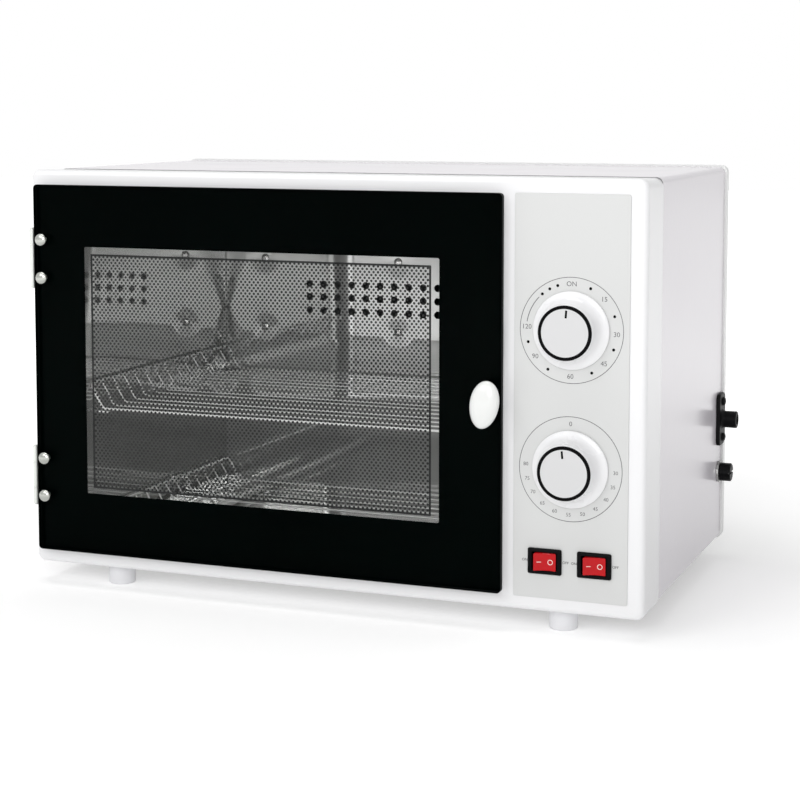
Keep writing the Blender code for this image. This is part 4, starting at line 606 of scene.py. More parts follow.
mesh = bmesh.new()
screw_head(mesh, "Y", SCREW_CORNER, SCREW_RADIUS, REAR_FACE, SCREW_CROWN, 1)
rear_screw = raw_object("rear_screws", mesh, screw_zinc)
for half in CROSS_ARMS:
    mesh = bmesh.new()
    prism(mesh, outline(*around(SCREW_CORNER, half), 0.0002, 2), *CROSS_CUT)
    cut(rear_screw, raw_object("cutter", mesh))
repeat(rear_screw, screw_zinc, 3, (-SCREW_CORNER[0], 0, 0),
       2, (0, 0, REAR_HIGH + REAR_LOW - 2 * SCREW_CORNER[1]))
dress(rear_screw, "cabinet")

# Base plate and feet. The plate is plain galvanised sheet with a row of slots under the control
# column. Four round plastic feet carry the cabinet, each on a screw in its recess.
base_zinc = paint("base_galvanised", (0.56, 0.56, 0.55), 0.42, 1.0)
add_variation(base_zinc, 40.0, 0.34, 0.52)
add_shading(base_zinc, 60.0, (0.50, 0.50, 0.49), (0.60, 0.60, 0.59))
keep("base_plate", base_zinc)
foot_plastic = paint("foot_white", (0.80, 0.80, 0.82), 0.38)
add_variation(foot_plastic, 60.0, 0.34, 0.46)
add_relief(foot_plastic, 1200.0, 0.00003)
FOOT_RADIUS = 0.0098
FOOT_BOTTOM = -0.0147
RECESS_RADIUS = 0.0034
RECESS_TOP = -0.0097
FOOT_SCREW_RADIUS, FOOT_SCREW_CROWN = 0.0029, 0.0014
FEET = {"front_left": (-0.166, 0.020, -0.0003), "front_right": (0.166, 0.020, -0.0003),
        "rear_left": (-0.166, 0.2287, 0.003), "rear_right": (0.166, 0.2287, 0.003)}
for side, (centre_x, centre_y, top) in FEET.items():
    profile = [(0, top), *arc((FOOT_RADIUS - 0.0005, top - 0.0005), 0.0005, 90, 0, 4),
               *arc((FOOT_RADIUS - 0.0012, FOOT_BOTTOM + 0.0010), 0.0010, 0, -90, 6),
               *arc((RECESS_RADIUS + 0.0004, FOOT_BOTTOM + 0.0004), 0.0004, -90, -180, 3),
               (RECESS_RADIUS, RECESS_TOP), (0, RECESS_TOP)]
    mesh = bmesh.new()
    turn_profile(mesh, "Z", (centre_x, centre_y), profile, 64)
    dress(raw_object(f"foot_pad_{side}", mesh, foot_plastic), "cabinet",
          [f"foot_{side}"], 40)
for side, (centre_x, centre_y, top) in FEET.items():
    mesh = bmesh.new()
    screw_head(mesh, "Z", (centre_x, centre_y), FOOT_SCREW_RADIUS, RECESS_TOP + 0.0001,
               FOOT_SCREW_CROWN, -1)
    dress(raw_object(f"foot_screw_{side}", mesh, screw_zinc), "cabinet")

# Chamber. A sleeve of mirror-bright stainless sheet with a flange behind the bezel, closed by a
# back wall. The sheet is slightly wavy, so what it mirrors is bent, it dips round each rivet and
# bends softly into its left rear corner. Three rows of air holes are punched in the back wall.
CHAMBER_LOW = (-0.187, 0.012)
CHAMBER_HIGH = (0.107, 0.2705)
CHAMBER_FRONT = 0.0033
CHAMBER_REAR = 0.2342
BACK_FACE = CHAMBER_REAR + 0.0003
STEEL_SHEET = 0.0008
CHAMBER_FLANGE = 0.0055
CHAMBER_CORNER = 0.003
HOLE_COLUMNS, HOLE_ROWS = 13, 3
HOLE_PITCH = (0.0123, 0.0107)
FIRST_HOLE_X = -0.1114
HOLE_RADIUS = 0.003
HOLE_CUT = (BACK_FACE - 0.002, BACK_FACE + 0.003)
RIVET_RADIUS, RIVET_CROWN = 0.0034, 0.0013
DIMPLE_REACH = 0.014
RIVETS = [(x, z) for x in (-0.151, -0.0343) for z in (VENT_Z - 0.026, VENT_Z + 0.0305)]
wall_steel = paint("wall_steel", (0.72, 0.725, 0.715), 0.04, 0.66)
# The sleeve's steel is a darker copy of the back wall's steel: painted shade for the chamber's
# dimmer side walls, roof and floor.
sleeve_steel_with_shade = paint("sleeve_steel_with_shade", (0.55, 0.555, 0.545), 0.04, 0.75)
for steel in (wall_steel, sleeve_steel_with_shade):
    add_variation(steel, 14.0, 0.025, 0.055, 1.0)
    add_relief(steel, 5.0, 0.0022, 0.0)


def add_dimples(made, places, reach, depth):
    """Soft dips in a finish round some points."""
    tree = made.node_tree
    space = tree.nodes.new("ShaderNodeTexCoord")
    dip = 1.0
    for place in places:
        span = tree.nodes.new("ShaderNodeVectorMath")
        span.operation = "DISTANCE"
        span.inputs[1].default_value = place
        tree.links.new(space.outputs["Object"], span.inputs[0])
        rise = mix_range(tree, span.outputs["Value"], 0.0, 1.0, 0.0, reach, True)
        dip = sum_up(tree, "MULTIPLY", dip, rise)
    add_bump(made, dip, depth)


def add_corner_bend(made, corner, narrow_z, depth):
    """A soft bend of two walls towards the upright corner between them, narrowest at one height."""
    narrowest, spread, side_share = 0.003, 0.32, 0.35
    tree = made.node_tree
    space = tree.nodes.new("ShaderNodeTexCoord")
    axes = tree.nodes.new("ShaderNodeSeparateXYZ")
    tree.links.new(space.outputs["Object"], axes.inputs[0])
    across = sum_up(tree, "SUBTRACT", axes.outputs["X"], corner.x)
    along = sum_up(tree, "MULTIPLY", sum_up(tree, "SUBTRACT", corner.y, axes.outputs["Y"]),
                   side_share)
    lift = sum_up(tree, "ABSOLUTE", sum_up(tree, "SUBTRACT", axes.outputs["Z"], narrow_z), 0.0)
    reach = sum_up(tree, "ADD", sum_up(tree, "MULTIPLY", lift, spread), narrowest)
    share = sum_up(tree, "DIVIDE", sum_up(tree, "ADD", across, along), reach)
    add_bump(made, mix_range(tree, share, 0.0, 1.0, smooth=True), depth)


add_dimples(wall_steel, [at(x, BACK_FACE, z) for x, z in RIVETS], DIMPLE_REACH, 0.0005)
for steel in (wall_steel, sleeve_steel_with_shade):
    add_corner_bend(steel, at(CHAMBER_LOW[0], BACK_FACE, 0), at(0, 0, 0.163).z, 0.0014)

mesh = bmesh.new()
skin(mesh, [lay("Y", depth, inset(CHAMBER_LOW, CHAMBER_HIGH, -grown, CHAMBER_CORNER + grown, 6))
            for depth, grown in ((CHAMBER_FRONT, 0), (CHAMBER_REAR - 0.0009, 0),
                                 (CHAMBER_REAR, STEEL_SHEET - 0.0001), (CHAMBER_REAR, STEEL_SHEET),
                                 (CHAMBER_FRONT + STEEL_SHEET, STEEL_SHEET),
                                 (CHAMBER_FRONT + STEEL_SHEET, CHAMBER_FLANGE),
                                 (CHAMBER_FRONT, CHAMBER_FLANGE))], closed=True)
sleeve = raw_object("chamber_sleeve", mesh, sleeve_steel_with_shade)
dress(sleeve, "cabinet", ["chamber_liner"])

mesh = bmesh.new()
prism(mesh, inset(CHAMBER_LOW, CHAMBER_HIGH, -CHAMBER_FLANGE, CHAMBER_CORNER, 3),
      BACK_FACE, BACK_FACE + STEEL_SHEET)
wall = raw_object("chamber_back_wall", mesh, wall_steel)
mesh = bmesh.new()
rod(mesh, "Y", (FIRST_HOLE_X, VENT_Z - HOLE_PITCH[1]), HOLE_RADIUS, *HOLE_CUT, 24)
holes = repeat(raw_object("hole_cutter", mesh), wall_steel, HOLE_COLUMNS, (HOLE_PITCH[0], 0, 0),
               HOLE_ROWS, (0, 0, HOLE_PITCH[1]))
dress(cut(wall, holes), "cabinet", ["chamber_back"])
rivet_steel = paint("rivet_steel", (0.72, 0.72, 0.71), 0.16, 1.0)
mesh = bmesh.new()
screw_head(mesh, "Y", RIVETS[0], RIVET_RADIUS, BACK_FACE, RIVET_CROWN, -1)
rivets = repeat(raw_object("back_rivets", mesh), rivet_steel,
                2, (RIVETS[2][0] - RIVETS[0][0], 0, 0), 2, (0, 0, RIVETS[1][1] - RIVETS[0][1]))
dress(rivets, "cabinet")

# Racks. Each is a closed chromed frame wire with raised sides and thirteen thinner cross wires,
# bent up at both ends and welded to the raised sides. The lower one lies on two round runners,
# the upper one on tabs of two wall brackets.
chrome_wire = paint("chrome_wire", (0.92, 0.92, 0.91), 0.34, 0.30)
add_variation(chrome_wire, 300.0, 0.28, 0.42)
RACK_LEFT, RACK_RIGHT = -0.1832, 0.1032
RACK_FRONT = 0.0082
RACK_LONG = 0.2208
RACK_HEIGHTS = {"upper_rack": 0.11351, "lower_rack": 0.0199}
CROSS_WIRES = 13
RACK_RISE = 0.018
RACK_FLARE = 0.0098
RACK_BEND = 0.005
FRAME_WIRE = 0.0009
CROSS_WIRE = 0.0006
RUNNER_XS = {"left": -0.151, "right": 0.071}
RUNNER_Z = 0.0155
RUNNER_RADIUS = 0.0032
RUNNER_SPAN = (0.0126, 0.2249)


def rounded_route(corners, closed, steps=8):
    """A route through corners with each bend made round."""
    route = []
    count = len(corners)
    for index, corner in enumerate(corners):
        if not closed and index in (0, count - 1):
            route.append(corner)
            continue
        before = (corners[index - 1] - corner).normalized()
        after = (corners[(index + 1) % count] - corner).normalized()
        half = before.angle(after) / 2
        centre = corner + (before + after).normalized() * RACK_BEND / math.sin(half)
        start = corner + before * RACK_BEND / math.tan(half) - centre
        end = corner + after * RACK_BEND / math.tan(half) - centre
        normal = start.cross(end).normalized()
        for step in range(steps + 1):
            turned = start.copy()
            turned.rotate(Matrix.Rotation(start.angle(end) * step / steps, 3, normal))
            route.append(centre + turned)
    return route


def wire(name, route, radius, closed, resolution=3):
    """A round wire along a route, as a plain mesh object."""
    curve = bpy.data.curves.new(name, "CURVE")
    curve.dimensions = "3D"
    curve.bevel_depth = radius
    curve.bevel_resolution = resolution
    curve.use_fill_caps = not closed
    spline = curve.splines.new("POLY")
    spline.points.add(len(route) - 1)
    for point, position in zip(spline.points, route):
        point.co = (*position, 1.0)
    spline.use_cyclic_u = closed
    carrier = into_scene(name, curve)
    data = bpy.data.meshes.new_from_object(carrier)
    bpy.data.objects.remove(carrier)
    mesh = bmesh.new()
    mesh.from_mesh(data)
    bmesh.ops.remove_doubles(mesh, verts=mesh.verts, dist=0.000001)
    return raw_object(name, mesh, chrome_wire)


def tray_bend(depth, height):
    """The bent line that each cross wire and both ends of the frame wire follow."""
    top = height + RACK_RISE
    return [at(RACK_LEFT, depth, top), at(RACK_LEFT + RACK_FLARE, depth, height),
            at(RACK_RIGHT - RACK_FLARE, depth, height), at(RACK_RIGHT, depth, top)]


for name, height in RACK_HEIGHTS.items():
    corners = tray_bend(RACK_FRONT, height) + tray_bend(RACK_FRONT + RACK_LONG, height)[::-1]
    frame_wire = wire(f"{name}_frame_wire", rounded_route(corners, True), FRAME_WIRE, True)
    dress(frame_wire, name, [name], 60)
    pitch = RACK_LONG / (CROSS_WIRES + 1)
    route = rounded_route(tray_bend(RACK_FRONT + pitch, height), False)
    cross = wire(f"{name}_cross_wires", route, CROSS_WIRE, False, 2)
    repeat(cross, chrome_wire, CROSS_WIRES, (0, pitch, 0))
    dress(cross, name, (), 60)
for side, centre_x in RUNNER_XS.items():
    mesh = bmesh.new()
    rod(mesh, "Y", (centre_x, RUNNER_Z), RUNNER_RADIUS, *RUNNER_SPAN, 32)
    dress(raw_object(f"runner_rod_{side}", mesh, chrome_wire), "cabinet",
          [f"floor_runner_{side}"])
    keep(f"rack_bracket_{side}", sleeve_steel_with_shade)

# Lamp. A germicidal tube of clear glass under the chamber's roof. It plugs into two moulded white
# holders, and the starter beside the ballast has the same white plastic.
tube_glass = paint("tube_glass", (0.90, 0.93, 0.97), 0.12, Specular_IOR_Level=0.6)
add_variation(tube_glass, 40.0, 0.08, 0.18)
holder_white = paint("holder_white", (0.75, 0.75, 0.72), 0.5)
add_relief(holder_white, 700.0, 0.00005)
keep("lamp_tube", tube_glass)
for node in ("lamp_holder_left", "lamp_holder_right", "starter"):
    keep(node, holder_white)

# Hidden parts. A foil heater under the chamber, a galvanised ballast and two brown phenolic dial
# bodies behind the panel, their steel shafts, and the pull's steel screw and strike plate.
heater_foil = paint("heater_foil", (0.72, 0.70, 0.66), 0.35, 1.0)
add_relief(heater_foil, 400.0, 0.0002)
brown_phenolic = paint("brown_phenolic", (0.10, 0.055, 0.035), 0.5)
add_shading(brown_phenolic, 90.0, (0.085, 0.045, 0.028), (0.12, 0.066, 0.042))
keep("heater_mat", heater_foil)
keep("ballast", base_zinc)
for node in ("timer_body", "thermostat_body"):
    keep(node, brown_phenolic)
for node in ("timer_shaft", "thermostat_shaft", "handle_screw", "strike_plate"):
    keep(node, screw_zinc)

# Control overlay. A light grey printed plastic sheet stuck on the bezel. Each dial has a fine
# printed ring with numbers and dots, and each switch has small ON and OFF words.
overlay_grey = paint("overlay_grey", (0.645, 0.65, 0.645), 0.42)
add_relief(overlay_grey, 2200.0, 0.00002)
add_variation(overlay_grey, 15.0, 0.38, 0.48)
ink_grey = paint("ink_grey", (0.12, 0.12, 0.125), 0.5, Specular_IOR_Level=0.2)
add_shading(ink_grey, 500.0, (0.10, 0.10, 0.105), (0.15, 0.15, 0.155))
ink_black = paint("ink_black", (0.002, 0.002, 0.002), 0.5, Specular_IOR_Level=0.05)
add_shading(ink_black, 500.0, (0.0016, 0.0016, 0.0018), (0.003, 0.003, 0.0032))
OVERLAY_LOW = (0.1374, 0.0096)
OVERLAY_HIGH = (0.214, 0.2738)
OVERLAY_FACE = -0.0008
PRINT_FACE = OVERLAY_FACE - 0.00004
DIAL_RING = (0.0341, 0.0345)
TIMER_ARC = (0.0298, 0.0303)
TIMER_ARC_START, TIMER_ARC_SWEEP = 279, 35
TIMER_NUMBERS = {"ON": 0, "15": 46, "30": 93, "45": 133.5, "60": 181, "90": 233.5, "120": 272.5}
TIMER_DOTS = (24.5, 70.5, 112, 153, 211, 253.5, 319.5, 331, 342)
FIRST_DEGREE_TURN, DEGREE_TURN = 91, 18.2
mesh = bmesh.new()
skin(mesh, [lay("Y", -0.0003, outline(OVERLAY_LOW, OVERLAY_HIGH, 0.001)),
            lay("Y", OVERLAY_FACE + 0.0001, outline(OVERLAY_LOW, OVERLAY_HIGH, 0.001)),
            lay("Y", OVERLAY_FACE, inset(OVERLAY_LOW, OVERLAY_HIGH, 0.0001, 0.0009))])
sheet = raw_object("overlay_sheet", mesh, overlay_grey)
mesh = bmesh.new()
control_cutters(mesh, -0.003, 0.002)
cut(sheet, raw_object("cutter", mesh))
dress(sheet, "cabinet", ["control_overlay"])


def printed(name, mesh, finish, body="cabinet"):
    """A flat printed mark."""
    data = bpy.data.meshes.new(name)
    mesh.to_mesh(data)
    mesh.free()
    data.materials.append(finish)
    made = into_scene(name, data)
    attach(made, body)


def add_band(mesh, centre, inner, outer, segments=96, start=0.0, sweep=360.0):
    """A flat ring, or a piece of one, that faces the front."""
    for step in range(segments):
        near, far = (math.radians(start + sweep * (step + offset) / segments) for offset in (0, 1))
        corners = ((inner, far), (outer, far), (outer, near), (inner, near))
        mesh.faces.new([mesh.verts.new(at(centre[0] + radius * math.sin(turn), PRINT_FACE,
                                          centre[1] + radius * math.cos(turn)))
                        for radius, turn in corners])


def add_spot(mesh, centre, radius, segments=16):
    """A flat dot that faces the front."""
    turns = [math.tau * step / segments for step in range(segments)]
    mesh.faces.new([mesh.verts.new(at(centre[0] + radius * math.cos(turn), PRINT_FACE,
                                      centre[1] + radius * math.sin(turn))) for turn in turns])


def add_words(mesh, words, height, centre):
    """Flat lettering that faces the front, centred on a point."""
    curve = bpy.data.curves.new("lettering", "FONT")
    curve.body = words
    curve.size = height / 0.70
    curve.align_x = "CENTER"
    curve.align_y = "CENTER"
    curve.resolution_u = 3
    carrier = into_scene("lettering", curve)
    data = bpy.data.meshes.new_from_object(carrier)
    bpy.data.objects.remove(carrier)
    data.transform(Matrix.Translation(at(centre[0], PRINT_FACE, centre[1]))
                   @ Matrix.Rotation(math.radians(90), 4, "X"))
    mesh.from_mesh(data)


def on_dial(height, radius, degrees):
    """A place on a dial's scale, clockwise from its top."""
    turn = math.radians(degrees)
    return (DIAL_X + radius * math.sin(turn), height + radius * math.cos(turn))


fine_print = bmesh.new()
dark_print = bmesh.new()
for height in DIAL_HEIGHTS.values():
    add_band(fine_print, (DIAL_X, height), *DIAL_RING)
timer_z = DIAL_HEIGHTS["timer"]
for words, degrees in TIMER_NUMBERS.items():
    add_words(fine_print, words, 0.0031, on_dial(timer_z, 0.0299, degrees))
add_band(fine_print, (DIAL_X, timer_z), *TIMER_ARC, 12, TIMER_ARC_START, TIMER_ARC_SWEEP)
for degrees in TIMER_DOTS:
    add_spot(dark_print, on_dial(timer_z, 0.0301, degrees), 0.0010)
thermostat_z = DIAL_HEIGHTS["thermostat"]
add_words(fine_print, "0", 0.0030, on_dial(thermostat_z, 0.0295, 0))
for index in range(11):
    place = on_dial(thermostat_z, 0.0300, FIRST_DEGREE_TURN + DEGREE_TURN * index)
    add_words(fine_print, str(30 + 5 * index), 0.0024, place)
for centre in SWITCH_XS.values():
    add_words(dark_print, "ON", 0.0017, (centre - 0.0137, SWITCH_Z))
    add_words(dark_print, "OFF", 0.0017, (centre + 0.0139, SWITCH_Z))
printed("dial_print_fine", fine_print, ink_grey)
printed("dial_print_dots", dark_print, ink_black)

# Dial knobs. White mouldings with a wide dished skirt and a flat grey face inside a black ring,
# with a short pointer line. Each is pushed on a steel shaft.
knob_white = paint("knob_white", (0.82, 0.82, 0.83), 0.26, Coat_Weight=0.2, Coat_Roughness=0.1)
add_variation(knob_white, 30.0, 0.22, 0.32)
add_relief(knob_white, 1500.0, 0.00002)
face_grey = paint("knob_face_grey", (0.64, 0.64, 0.645), 0.36)
add_relief(face_grey, 1800.0, 0.00002)
add_variation(face_grey, 60.0, 0.32, 0.42)
KNOB_BASE = -0.0012
KNOB_TALL = 0.0146
KNOB_RADIUS = 0.0254
KNOB_SWEEP = ((0.712, 0.86), (0.72, 0.74), (0.732, 0.60), (0.755, 0.46), (0.78, 0.36),
              (0.81, 0.27), (0.85, 0.205), (0.90, 0.16), (0.95, 0.125), (0.985, 0.105),
              (1.0, 0.075), (1.0, 0.02), (0.99, 0.0))
SOCKET_RADIUS = 0.0032
SOCKET_DEEP = 0.010
HUB_RADIUS = 0.0056
INNER_RADIUS = 0.0167
KNOB_HOLLOW = ((0.0238, 0), (0.0190, 0.0039), (INNER_RADIUS, 0.0108))
KNOB_FACE = KNOB_BASE - KNOB_TALL
KNOB_INSIDE = KNOB_FACE + 0.0016
CAP_RADIUS = 0.0177
CAP_RING = 0.0155
CAP_BACK = KNOB_FACE - 0.0002
CAP_FACE = KNOB_FACE - 0.0011
POINTERS = {"timer": 4, "thermostat": -5}
POINTER_REACH = 0.0121
POINTER_HALF = (0.0007, 0.0025)


def turned(points, centre, angle):
    """Points turned about a centre."""
    cosine, sine = math.cos(angle), math.sin(angle)
    return [(centre[0] + (x - centre[0]) * cosine - (z - centre[1]) * sine,
             centre[1] + (x - centre[0]) * sine + (z - centre[1]) * cosine) for x, z in points]


for name, height in DIAL_HEIGHTS.items():
    dial = (DIAL_X, height)
    profile = [(0, KNOB_FACE), *arc((0.0171, KNOB_FACE + 0.0006), 0.0006, -90, 0, 4),
               *((KNOB_RADIUS * share, KNOB_BASE - KNOB_TALL * rise) for share, rise in KNOB_SWEEP),
               *((radius, KNOB_BASE - rise) for radius, rise in KNOB_HOLLOW),
               (INNER_RADIUS, KNOB_INSIDE), (HUB_RADIUS, KNOB_INSIDE), (HUB_RADIUS, KNOB_BASE),
               (SOCKET_RADIUS, KNOB_BASE), (SOCKET_RADIUS, KNOB_BASE - SOCKET_DEEP),
               (0, KNOB_BASE - SOCKET_DEEP)]
    mesh = bmesh.new()
    turn_profile(mesh, "Y", dial, profile, 96)
    dress(raw_object(f"{name}_knob_moulding", mesh, knob_white), f"{name}_dial",
          [f"{name}_knob"], 50)
    mesh = bmesh.new()
    turn_profile(mesh, "Y", dial, [
        (0, CAP_BACK), (CAP_RADIUS, CAP_BACK),
        *arc((CAP_RADIUS - 0.0003, CAP_FACE + 0.0003), 0.0003, 0, -90, 3),
        (CAP_RING + 0.00005, CAP_FACE), (CAP_RING, CAP_FACE + 0.0001), (0, CAP_FACE + 0.0001)], 96)
    cap = raw_object(f"{name}_knob_face", mesh, face_grey)
    middle = at(DIAL_X, 0, height)
    coat_faces(cap, ink_black, lambda face: CAP_RING - 0.0001 < math.hypot(
        face.center.x - middle.x, face.center.z - middle.z))
    dress(cap, f"{name}_dial", [f"{name}_knob_cap"], 50)
    mesh = bmesh.new()
    bar = outline(*around((DIAL_X, height + POINTER_REACH), POINTER_HALF), 0.0002, 2)
    line = turned(bar, dial, -math.radians(POINTERS[name]))
    mesh.faces.new([mesh.verts.new(point) for point in lay("Y", CAP_FACE + 0.00005, line)])
    printed(f"{name}_pointer", mesh, ink_black, f"{name}_dial")

# Rocker switches. Black snap-in housings with a translucent red rocker, marked with a bar and
# a ring in white.
housing_black = paint("housing_black", (0.003, 0.003, 0.0035), 0.3, Specular_IOR_Level=0.06)
add_relief(housing_black, 900.0, 0.00004)
add_variation(housing_black, 80.0, 0.26, 0.38)
# The rocker also gives a faint red glow: painted light, as no lamp is built into it.
rocker_red_with_glow = paint("rocker_red_with_glow", (0.42, 0.002, 0.005), 0.18, Coat_Weight=0.1, Coat_Roughness=0.05,
                   Specular_IOR_Level=0.2, Emission_Color=(1.0, 0.01, 0.02, 1.0),
                   Emission_Strength=0.08)
add_variation(rocker_red_with_glow, 120.0, 0.14, 0.24)
mark_white = paint("mark_white", (0.86, 0.62, 0.58), 0.4)
add_variation(mark_white, 300.0, 0.36, 0.46)
POCKET = (0.0083, 0.0061)
HOUSING_RIM = (0.0114, 0.0085)
HOUSING_BACK, HOUSING_FRONT = -0.0011, -0.0029
HOUSING_STATIONS = (
    (HOUSING_FRONT + 0.0085, POCKET, 0, 0.0006), (HOUSING_FRONT + 0.0003, POCKET, 0, 0.0006),
    (HOUSING_FRONT, POCKET, -0.0003, 0.0009), (HOUSING_FRONT, HOUSING_RIM, 0.0010, 0.0012),
    (HOUSING_FRONT + 0.0003, HOUSING_RIM, 0.0004, 0.0012),
    (HOUSING_FRONT + 0.0009, HOUSING_RIM, 0, 0.0012), (HOUSING_BACK, HOUSING_RIM, 0, 0.0012),
    (HOUSING_BACK, POCKET, -0.001, 0.0012), (HOUSING_FRONT + 0.017, POCKET, -0.001, 0.0012))
ROCKER_HALF = 0.0073
ROCKER_RISE = 0.0046
ROCKER_DISH = 0.0014
ROCKER_BARREL = 0.0063
ROCKER_STATIONS = ((0.0003, -0.0057), (0, -0.0054), (0, 0.0054), (0.0003, 0.0057))
ROCKER_PIVOT = -0.0001
ROCKER_TILT = math.radians(10)
BAR_MARK = ((-0.0052, -0.00025), (-0.0024, -0.00025), (-0.0024, 0.00025), (-0.0052, 0.00025))
RING_X = 0.0036
RING_INNER, RING_OUTER = 0.0013, 0.0018


def rocker_face(x):
    """Depth of the rocker's dished face from its pivot, at a distance to one side."""
    return ROCKER_DISH * (1 - (x / ROCKER_HALF) ** 2) - ROCKER_RISE


def on_rocker(centre, x, y, z):
    """A point of a rocker, from its place about the pivot, leaned as the rocker rests."""
    tipped = turned([(centre + x, ROCKER_PIVOT + y)], (centre, ROCKER_PIVOT), ROCKER_TILT)[0]
    return at(*tipped, SWITCH_Z + z)


section = [(ROCKER_HALF, -ROCKER_RISE)]
for step in range(16):
    turn = math.radians(12 * step)
    section.append((ROCKER_BARREL * math.cos(turn), ROCKER_RISE * math.sin(turn)))
section.append((-ROCKER_HALF, -ROCKER_RISE))
for step in range(1, 14):
    across = ROCKER_HALF * (step / 7 - 1)
    section.append((across, rocker_face(across)))
marks = [BAR_MARK]
for step in range(32):
    near, far = (math.tau * (step + offset) / 32 for offset in (0, 1))
    corners = ((RING_INNER, near), (RING_OUTER, near), (RING_OUTER, far), (RING_INNER, far))
    marks.append([(RING_X + radius * math.cos(turn), radius * math.sin(turn))
                  for radius, turn in corners])
for name, centre in SWITCH_XS.items():
    mesh = bmesh.new()
    skin(mesh, [lay("Y", depth, inset(*around((centre, SWITCH_Z), half), drawn_in, radius, 4))
                for depth, half, drawn_in, radius in HOUSING_STATIONS])
    dress(raw_object(f"{name}_housing_moulding", mesh, housing_black), "cabinet",
          [f"{name}_switch_housing"])
    mesh = bmesh.new()
    skin(mesh, [[on_rocker(centre, x * (1 - drawn_in / ROCKER_HALF), y + drawn_in * (y < 0), z)
                 for x, y in section] for drawn_in, z in ROCKER_STATIONS])
    dress(raw_object(f"{name}_rocker_lens", mesh, rocker_red_with_glow), f"{name}_rocker",
          [f"{name}_rocker"], 40)
    mesh = bmesh.new()
    for mark in marks:
        mesh.faces.new([mesh.verts.new(on_rocker(centre, x, rocker_face(x) - 0.00005, z))
                        for x, z in mark])
    printed(f"{name}_rocker_marks", mesh, mark_white, f"{name}_rocker")

# Door. A toughened glass sheet with blackened ground edges. Behind it a black border is printed
# round a clear window and backed with a pale grey coat that glows faintly, a painted glow that
# the chamber's walls mirror as light.
# Inside it are a thin black line and a close field of black dots.
door_clear = paint("door_clear_glass", (0.0001, 0.0002, 0.0002), 0.02, Alpha=0.03,
                   Specular_IOR_Level=0.0)
add_variation(door_clear, 8.0, 0.018, 0.026, 0.0)
door_black = paint("door_black_print", (0.0003, 0.0012, 0.0010), 0.07, Specular_IOR_Level=0.012)
add_variation(door_black, 8.0, 0.05, 0.09, 1.0)
add_shading(door_black, 8.0, (0.0003, 0.0011, 0.0009), (0.0004, 0.0014, 0.0012), 1.0)
dot_black = paint("window_dot_black", (0.014, 0.015, 0.015), 0.55, Specular_IOR_Level=0.2)
add_shading(dot_black, 40.0, (0.012, 0.013, 0.013), (0.017, 0.018, 0.018))
DOOR_LOW = (-0.2185, 0.0114)
DOOR_HIGH = (0.1309, 0.2739)
DOOR_CORNER = 0.003
GROUND_EDGE = 0.0005
GLASS_FRONT, GLASS_BACK = -0.0080, -0.0036
GLASS_CUT = (-0.010, -0.002)
PRINT_FRONT, PRINT_BACK = -0.0034, -0.0031
PRINT_CUT = (-0.006, -0.001)
PRINT_MARGIN = 0.0002
PRINT_CORNER = 0.0024
WINDOW_LOW = (-0.180, 0.0539)
WINDOW_HIGH = (0.0865, 0.2302)
WINDOW_CORNER = 0.0012
HINGE_X = -0.2122
HINGE_ZS = {"upper": 0.22115, "lower": 0.06415}
HINGE_SCREW_RISE = 0.0136
HINGE_SCREW_HOLE = 0.0019
HANDLE = (0.1224, 0.1373)
HANDLE_SCREW_HOLE = 0.0021


def door_cutter(start, end):
    """A cutter for the holes of the hinge screws and the pull."""
    mesh = bmesh.new()
    for middle in HINGE_ZS.values():
        for height in (middle - HINGE_SCREW_RISE, middle + HINGE_SCREW_RISE):
            rod(mesh, "Y", (HINGE_X, height), HINGE_SCREW_HOLE, start, end, 24)
    rod(mesh, "Y", HANDLE, HANDLE_SCREW_HOLE, start, end, 24)
    return raw_object("cutter", mesh)


def on_ground_edge(face):
    """Whether a face of the pane is on its outer edge."""
    place = face.center - at(0, 0, 0)
    margin = min(place.x - DOOR_LOW[0], DOOR_HIGH[0] - place.x,
                 place.z - DOOR_LOW[1], DOOR_HIGH[1] - place.z)
    return abs(face.normal.y) < 0.9 and margin < 0.004


mesh = bmesh.new()
pane_sides = outline(DOOR_LOW, DOOR_HIGH, DOOR_CORNER)
pane_face = inset(DOOR_LOW, DOOR_HIGH, GROUND_EDGE, DOOR_CORNER - GROUND_EDGE)
skin(mesh, [lay("Y", GLASS_FRONT, pane_face), lay("Y", GLASS_FRONT + GROUND_EDGE, pane_sides),
            lay("Y", GLASS_BACK - GROUND_EDGE, pane_sides), lay("Y", GLASS_BACK, pane_face)])
pane = cut(raw_object("door_pane", mesh, door_clear), door_cutter(*GLASS_CUT))
coat_faces(pane, door_black, on_ground_edge)
dress(pane, "door", ["door_glass"])


def printed_ring(name, outer, inner, finish):
    """A thin printed layer behind the glass, between two outlines."""
    mesh = bmesh.new()
    skin(mesh, [lay("Y", PRINT_FRONT, outer), lay("Y", PRINT_BACK, outer),
                lay("Y", PRINT_BACK, inner), lay("Y", PRINT_FRONT, inner)], closed=True)
    return raw_object(name, mesh, finish)


border = printed_ring("door_border_print",
                      inset(DOOR_LOW, DOOR_HIGH, PRINT_MARGIN, PRINT_CORNER),
                      outline(WINDOW_LOW, WINDOW_HIGH, WINDOW_CORNER), door_black)
# Painted glow: the border's back is pale grey and emits light, though it is no lamp.
glowing_back_coat = paint("print_back_painted_glow", (0.52, 0.52, 0.515), 0.45,
                  Emission_Color=(1.0, 1.0, 0.99, 1.0), Emission_Strength=0.12)
add_shading(glowing_back_coat, 400.0, (0.51, 0.51, 0.505), (0.53, 0.53, 0.525))
cut(border, door_cutter(*PRINT_CUT))
coat_faces(border, glowing_back_coat, lambda face: face.normal.y > 0.9)
dress(border, "door", ["door_print"])

